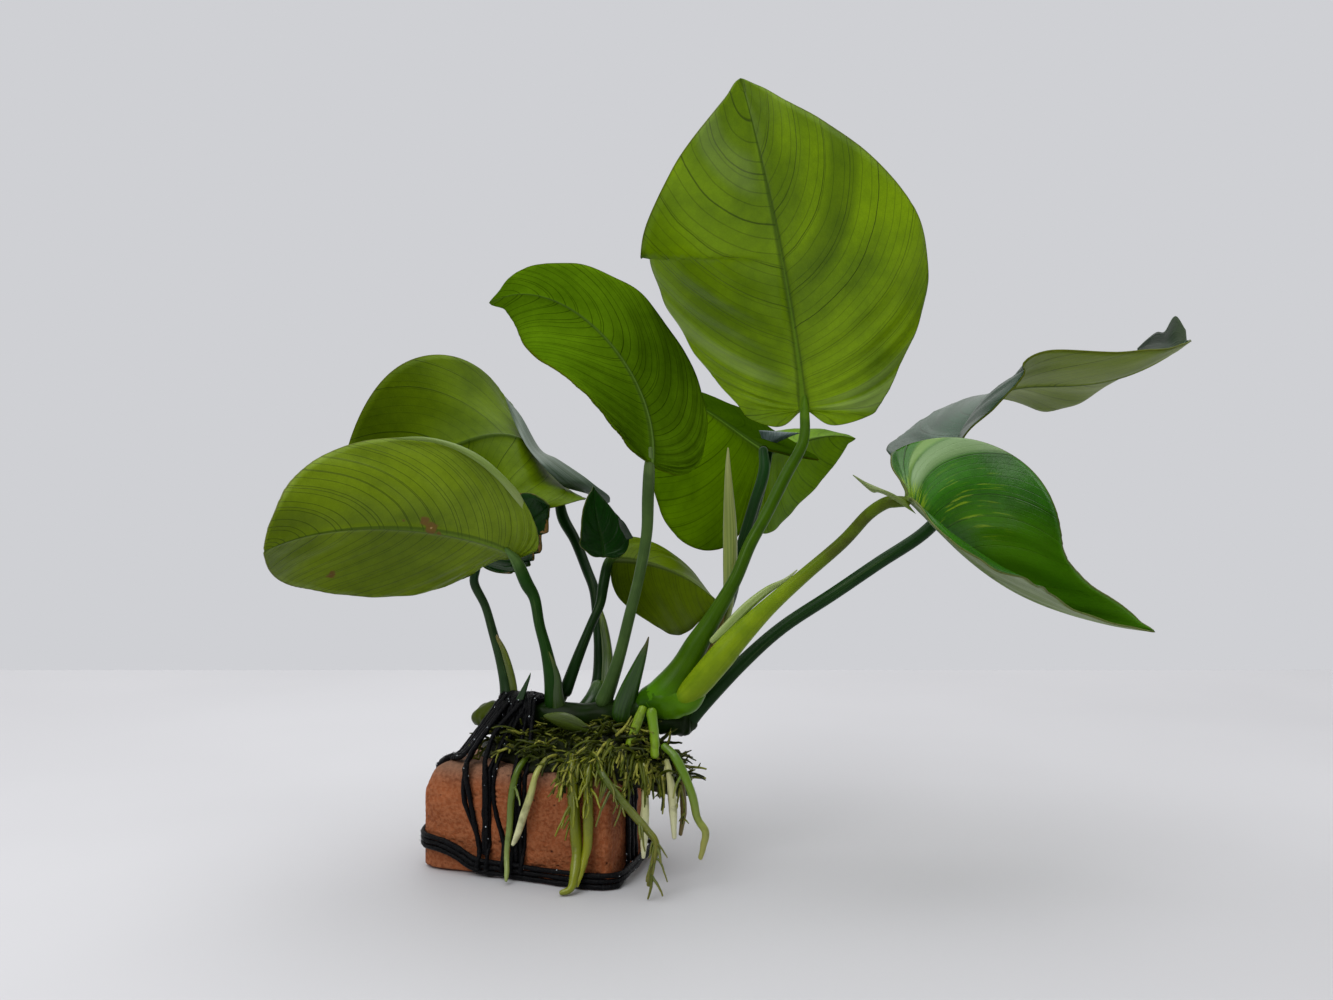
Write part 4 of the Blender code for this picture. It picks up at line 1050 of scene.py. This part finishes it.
mat = {"middle": 14.7, "long": 36, "deep": 13.5, "wider": 6.0, "foot": 34.0, "rise": 8.5,
       "lump": (31, 10, 4.5), "hollow": (12, 7, 3.5), "sag": (28, 23, 9.0),
       "crossing": 50, "rootlets": 400, "hanging": 150}


def matLump(along):
    place, width, height = mat["lump"]
    return height * bell(along, place, width)


def matSag(along):
    start, length, depth = mat["sag"]
    return depth * (max(0.0, along - start) / length) ** 2


def matFront(along):  # how far it reaches forwards
    return mat["deep"] + mat["wider"] * smoothStep(-8, 2, along)


def moundHeight(along, across):  # the top of the mat or of the block below a place
    mound = 0
    deep = matFront(along) if across < 0 else mat["deep"]
    spread = 1 - ((along - mat["middle"]) / mat["long"]) ** 2 - (across / deep) ** 2
    if spread > 0:
        place, width, depth = mat["hollow"]
        hollow = depth * bell(along, place, width) if across < -3 else 0
        rise = mat["rise"] + matLump(along) - hollow
        mound = mat["foot"] + rise * sqrt(spread) - matSag(along)
    onTop = abs(along) < block["length"] / 2 + 0.4 and abs(across) < block["depth"] / 2 + 0.4
    return max(mound, block["height"] + 0.2 if onTop else -9)


for number, (name, root) in enumerate(roots.items()):
    chance = random.Random(number + 40)
    shape = newShape()
    path = smoothPath([(*onBlock(a, -block["depth"] / 2 - out, up), r)
                       for a, out, up, r in root["rows"]], 6)
    addTube(shape, path, 12, knobbly(0.18, number))
    for twig in range(root["twigs"]):
        low = twig % 2 == 1 and name == "root_slanting"  # the others start near the top
        row = path[-3 - chance.randint(0, 20)] if low else path[chance.randint(1, len(path) // 3)]
        heading = onBlock(chance.uniform(-0.8, 0.8) + 0.5 * low, chance.uniform(-0.7, -0.1),
                          chance.uniform(-1.2, -0.2))
        addRootlet(shape, row.xyz, heading, chance.randint(4, 8), chance.uniform(0.9, 1.5),
                   chance.uniform(0.4, 0.65), 0.15, chance)
    makePiece(name + "_skin", shape, [rootFinish(name, root["tones"])],
              "root_pale" if name in paleRoots else "root_green", name)
print("roots done")


# Root mat: a dark core with some hundreds of short rootlets over it

def matFinish(name, tones):
    # Fine roots: dark and olive green, wet, each of its own tone
    finish, add = newFinish(name)
    tone = add("own", attribute_name="tone")
    patches = add("noise", add("place"), perMetre(3.125), 3)
    colour = paint(add, tones[0], (add("step", tone, 0, 0.55), tones[1]),
                   (add("step", tone, 0.55, 1), tones[2]),
                   (add("step", patches, 0.45, 0.7, 0, 0.7), "#1c2004"))
    return dress(finish, colour, 0.4, 0.2, bump=(patches, 0.3 * mm, 0.6))


def makeCore():
    shape = bmesh.new()
    shape.verts.layers.float.new("tone")
    bmesh.ops.create_uvsphere(shape, u_segments=64, v_segments=32, radius=1)
    for vertex in shape.verts:
        flat = vertex.co.copy()
        along = flat.x * mat["long"] + mat["middle"]
        rise = mat["rise"] + (matLump(along) if flat.z > 0 else 0)
        place = Vector((flat.x * mat["long"], flat.y * mat["deep"], flat.z * rise))
        if place.y < 0:
            place.y *= matFront(along) / mat["deep"]
        place.z -= matSag(along)
        place *= 0.97 + 0.10 * noise.noise(flat * 3) + 0.06 * noise.noise(flat * 11)
        vertex.co = onBlock(place.x + mat["middle"], place.y, place.z + mat["foot"]) * mm
    makePiece("mat_core", shape, [matFinish("matted root core", ("#141a04", "#141a04", "#242c08"))],
              "root_mat", "root_mat")


def makeRootlets():
    chance = random.Random(5)
    draw = chance.uniform
    shape = newShape()
    tone = shape.verts.layers.float.new("tone")
    for i in range(mat["crossing"] + mat["rootlets"] + mat["hanging"]):
        crossing = i < mat["crossing"]  # long ones, lying every way over the rest
        hanging = i >= mat["crossing"] + mat["rootlets"]
        if hanging:  # at the front edge round the bundle, and in a curtain at the right end
            along = chance.gauss(21, 4) if chance.random() < 0.42 else draw(27, 50)
        else:
            along = draw(-16, 32) if crossing else draw(-14, 49)
        wide = sqrt(max(0, 1 - ((along - mat["middle"]) / (mat["long"] + 1)) ** 2))
        reach = matFront(along) * wide
        across = -reach * (draw(0.75, 1.0) if hanging else draw(-0.5, 0.98))
        if not hanging and not crossing and chance.random() < 0.25:
            across = mat["deep"] * wide * draw(0.3, 0.98)
        height = moundHeight(along, across) + (1.2 if crossing else draw(0.1, 1.4))
        inHollow = abs(along - mat["hollow"][0]) < 9 and across > -12
        if height < 15 or (crossing and inHollow):
            continue
        yaw = chance.gauss(-1.57, 0.5) if hanging else draw(-3.9, 0.8)
        heading = onBlock(cos(yaw), sin(yaw), draw(-0.9, 0.0) if hanging
                          else draw(-0.2, 0.9) * (0.3 if crossing else 1.0))
        before = len(shape.verts)
        rows = addRootlet(shape, onBlock(along, across, height), heading,
                          chance.randint(5, 9) if crossing else chance.randint(3, 7),
                          draw(1.1, 1.6) * (1.25 if hanging else 1.0),
                          draw(0.45, 0.75), 0.34 if hanging else 0.06, chance)
        for side in rows[2:-1]:
            if chance.random() < 0.3:
                turned = heading + onBlock(draw(-1, 1), -0.3, draw(-0.6, 0.4))
                addRootlet(shape, side.xyz, turned, 3, draw(0.7, 1.3), 0.4, 0.1, chance)
        own = chance.random() ** (0.7 if crossing or hanging else 1.6)
        shape.verts.ensure_lookup_table()
        for vertex in shape.verts[before:]:
            vertex[tone] = own
    makePiece("rootlets", shape, [matFinish("fine roots", ("#242c04", "#525c0e", "#9c9c42"))],
              "root_mat")


makeCore()
makeRootlets()
print("root mat done")


# Thread: one route, low round the block, up its left end and over the rhizome, and the
# strands that double it.  Places are along and across the block and height, in the turn the
# height over its own band.  A wrap is where along the block it goes over, down the back, and
# up the front at the foot and at the top.

thread = {
    "radius": 0.78, "gap": 1, "pitch": 1.65, "bandTurns": 3, "wrapRadius": 6.4, "wrapHeight": 46.2,
    "start": ((32, -4.5, 23), (32, -5, 12), (32.1, -6.5, 3), (32.1, -11, 0.9)),
    "turn": ((34.5, -12, 0), (33.5, -20, 0), (27, -23.5, 0), (15, -23, 0), (4, -22, 0), (-5, -21.7, 0.2),
        (-12, -21.7, 0.6), (-18, -21.7, 3.4), (-23.5, -21.4, 5.4), (-30.6, -19.5, 5.9),
        (-33.6, -14.5, 6.2), (-34.1, -4, 6.4), (-33.9, 7, 6.2), (-30.9, 18.5, 5.8), (-22, 21.5, 4.5),
        (-8, 21.7, 2), (10, 21.7, 0.3), (27, 21.7, 0), (33, 19.5, 0), (34, 12, 0), (34.2, 0, 0)),
    "climb": ((-34, -2, 14), (-34, -2.5, 20), (-33, -3.5, 26), (-30.9, -4.5, 30.5), (-27.5, -6, 33.2),
        (-23.5, -9, 35.2)),
    "wraps": ((-12.5, -16, -11.6, -16.8), (-11.5, -12, -8.4, -8.4), (-4.9, -9, -3.4, -6.8),
        (-3.3, -6, -0.4, -0.4), (-1.7, 6, 3.4, 3.4), (-0.1, 12, None, None)),
    "extraLoops": 26, "drops": 420,
    "strands": (  # short doubled strands on the front, from the knob and over the right end
        ((-12, -4.5, 51.5), (-16, -9.2, 44), (-19.5, -11.5, 38), (-22.5, -11.6, 34.9), (-27, -10.5, 33.6),
            (-30.8, -9.1, 31), (-32.4, -8.5, 26)),
        ((-10.8, -5.5, 51.5), (-14.8, -10.4, 44), (-18.4, -12.8, 38), (-22, -12.9, 34.9),
            (-26.5, -11.8, 33.8), (-31, -10.4, 30.6)),
        ((-9.6, -6.5, 51), (-13.4, -11.4, 44), (-17.4, -14, 38), (-20.6, -14.5, 34.8),
            (-24.5, -13, 33.9)),
        ((-8.5, -6.5, 51), (-12, -13, 44), (-15.6, -18.4, 36.5), (-16.6, -20.6, 31)),
        ((-4, -6.5, 51), (-9, -13.5, 43.5), (-10, -19.4, 35.5), (-9, -20.8, 28), (-8.9, -20.7, 15),
            (-8.9, -20.9, 7)),
        ((-15.9, -20.3, 34), (-15.4, -20.9, 28), (-12.8, -20.6, 15), (-10.9, -20.9, 7)),
        ((-9.6, -20.2, 34), (-9.6, -20.9, 28), (-9.7, -20.7, 15), (-9.7, -20.9, 7)),
        ((0.8, -20.2, 34), (0.9, -20.9, 28), (0.9, -20.7, 15), (1, -20.9, 5)),
        ((1.9, -20.2, 34), (1.9, -20.8, 28), (2.2, -20.7, 15), (2.6, -20.9, 5)),
        ((32.2, -6.6, 33), (32.4, -6.8, 24), (32.5, -7, 14), (32.8, -7.6, 5)),
        ((32.2, -3.1, 33), (32.4, -3.2, 24), (32.5, -3.4, 14), (32.8, -4, 4)),
        ((32.2, 0.4, 33), (32.4, 0.2, 24), (32.4, 0, 14), (32.8, -0.4, 4))),
}


def arch(along, radius, height, degrees, tilt=0.0, wide=1.0):  # a point of a turn over the rhizome
    angle = radians(degrees)
    return (along + tilt * cos(angle), radius * cos(angle) * wide,
            height + radius * sin(angle))


def threadRoute():
    route = list(thread["start"])
    stations = len(thread["turn"])
    for turn in range(thread["bandTurns"]):
        for i, (along, across, lift) in enumerate(thread["turn"]):
            if turn == 0 and i == 0:
                continue
            if turn == thread["bandTurns"] - 1 and along < -33.8 and across < 0:
                break
            route.append((along, across, 0.8 + thread["pitch"] * (turn + i / stations) + lift))
    route += thread["climb"]
    face = block["depth"] / 2 + thread["gap"]
    top = block["height"] + thread["gap"]
    for over, back, nextBottom, nextTop in thread["wraps"]:
        route += [arch(over, thread["wrapRadius"], thread["wrapHeight"], degrees)
                  for degrees in (141, 115, 90, 65, 39)]
        slope = back - over
        route.append((over + slope * 0.2, face - 2.7, top + 0.5))
        if nextBottom is None:
            break
        route += [(over + slope * 0.3, face - 0.3, top - 3), (over + slope * 0.5, face, 22),
                  (back, face, 10), (back, face, 1.0), (nextBottom, -face, 1.0),
                  (nextBottom, -face, 10), (nextTop, -face, 22), (nextTop, 0.3 - face, top - 3),
                  (nextTop, 2.7 - face, top + 0.5)]
    return route


def threadFinish():
    # Sewing cotton: black, soaked, fuzzy, twisted strands about 1 mm thick, wet glints
    finish, add = newFinish("wet black cotton")
    fibre = add("noise", add("place"), perMetre(0.7143), 3)
    colour = paint(add, "#020204", (add("step", fibre, 0.4, 0.65), "#08090d"))
    return dress(finish, colour, 0.45, 0.12, bump=(fibre, 0.5 * mm, 1))


def makeThread():
    chance = random.Random(11)
    noise.seed_set(11)  # noise_vector follows the clock otherwise
    shape = newShape()

    def addStrand(points, steps, radius, seed):
        path = smoothPath([(*onBlock(*p), radius) for p in points], steps)
        path = [row + Vector((*noise.noise_vector(row.xyz * 0.5 + Vector((seed, 0, 0))), 0)) * 0.18
                for row in path]
        for row in path:
            row[3] = radius * (1 + 0.35 * noise.noise(row.xyz * 1.3))
            row[2] = max(row[2], radius)
        addTube(shape, path, 8)
        for k in range(len(path) * 2):  # the fuzz
            row = chance.choice(path)
            fibre = bmesh.ops.create_cone(shape, cap_ends=True, segments=3, radius1=0.07 * mm,
                                          radius2=0.02 * mm, depth=chance.uniform(0.7, 1.6) * mm)
            turn = Euler([chance.uniform(0, 6.28) for axis in range(3)]).to_matrix()
            away = turn @ Vector((0, 0, 1))
            bmesh.ops.transform(shape, verts=fibre["verts"],
                                matrix=Matrix.Translation((row.xyz + away * radius) * mm)
                                @ turn.to_4x4())
        return path

    paths = addStrand(threadRoute(), 3, thread["radius"], 0)
    for number, strand in enumerate(thread["strands"]):
        paths += addStrand(strand, 6, thread["radius"], 5 + number)
    for number in range(thread["extraLoops"]):
        along = chance.uniform(-11, 1)
        tilt = chance.uniform(-4.5, 4.5)
        reach = thread["wrapRadius"] + chance.uniform(-0.6, 1.3)
        loop = [arch(along, reach, thread["wrapHeight"] - 0.6, degrees, tilt, 1.05)
                for degrees in range(-60, 250, 20)]
        paths += addStrand(loop, 2, thread["radius"] * 0.9, 30 + number)
    makePiece("thread_cotton", shape, [threadFinish()], "thread", "thread")
    return paths


def makeDrops(paths):  # water caught in the fuzz
    chance = random.Random(21)
    finish = newFinish("water drops with painted glints")[0]  # clear water, wet; its pale grey colour is a painted glint
    sockets = finish.node_tree.nodes["Principled BSDF"].inputs
    # painted glints: the drops are real, their pale grey colour makes them bright
    sockets["Base Color"].default_value = hexColour("#c4ccd4")
    sockets["Roughness"].default_value = 0.05
    shape = newShape()
    for row in chance.sample(paths, thread["drops"]):
        away = Vector([chance.uniform(-1, 1) for axis in range(3)]).normalized()
        place = (row.xyz + away * thread["radius"] * 0.95) * mm
        if place.z < 0.5 * mm:
            continue
        bmesh.ops.create_icosphere(shape, subdivisions=1, radius=chance.uniform(0.12, 0.28) * mm,
                                   matrix=Matrix.Translation(place))
    makePiece("thread_drops", shape, [finish], "thread")


makeDrops(makeThread())
print("thread done")

size = {"cad": [list(c) for c in cadBox], "visual": [list(c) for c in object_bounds()]}
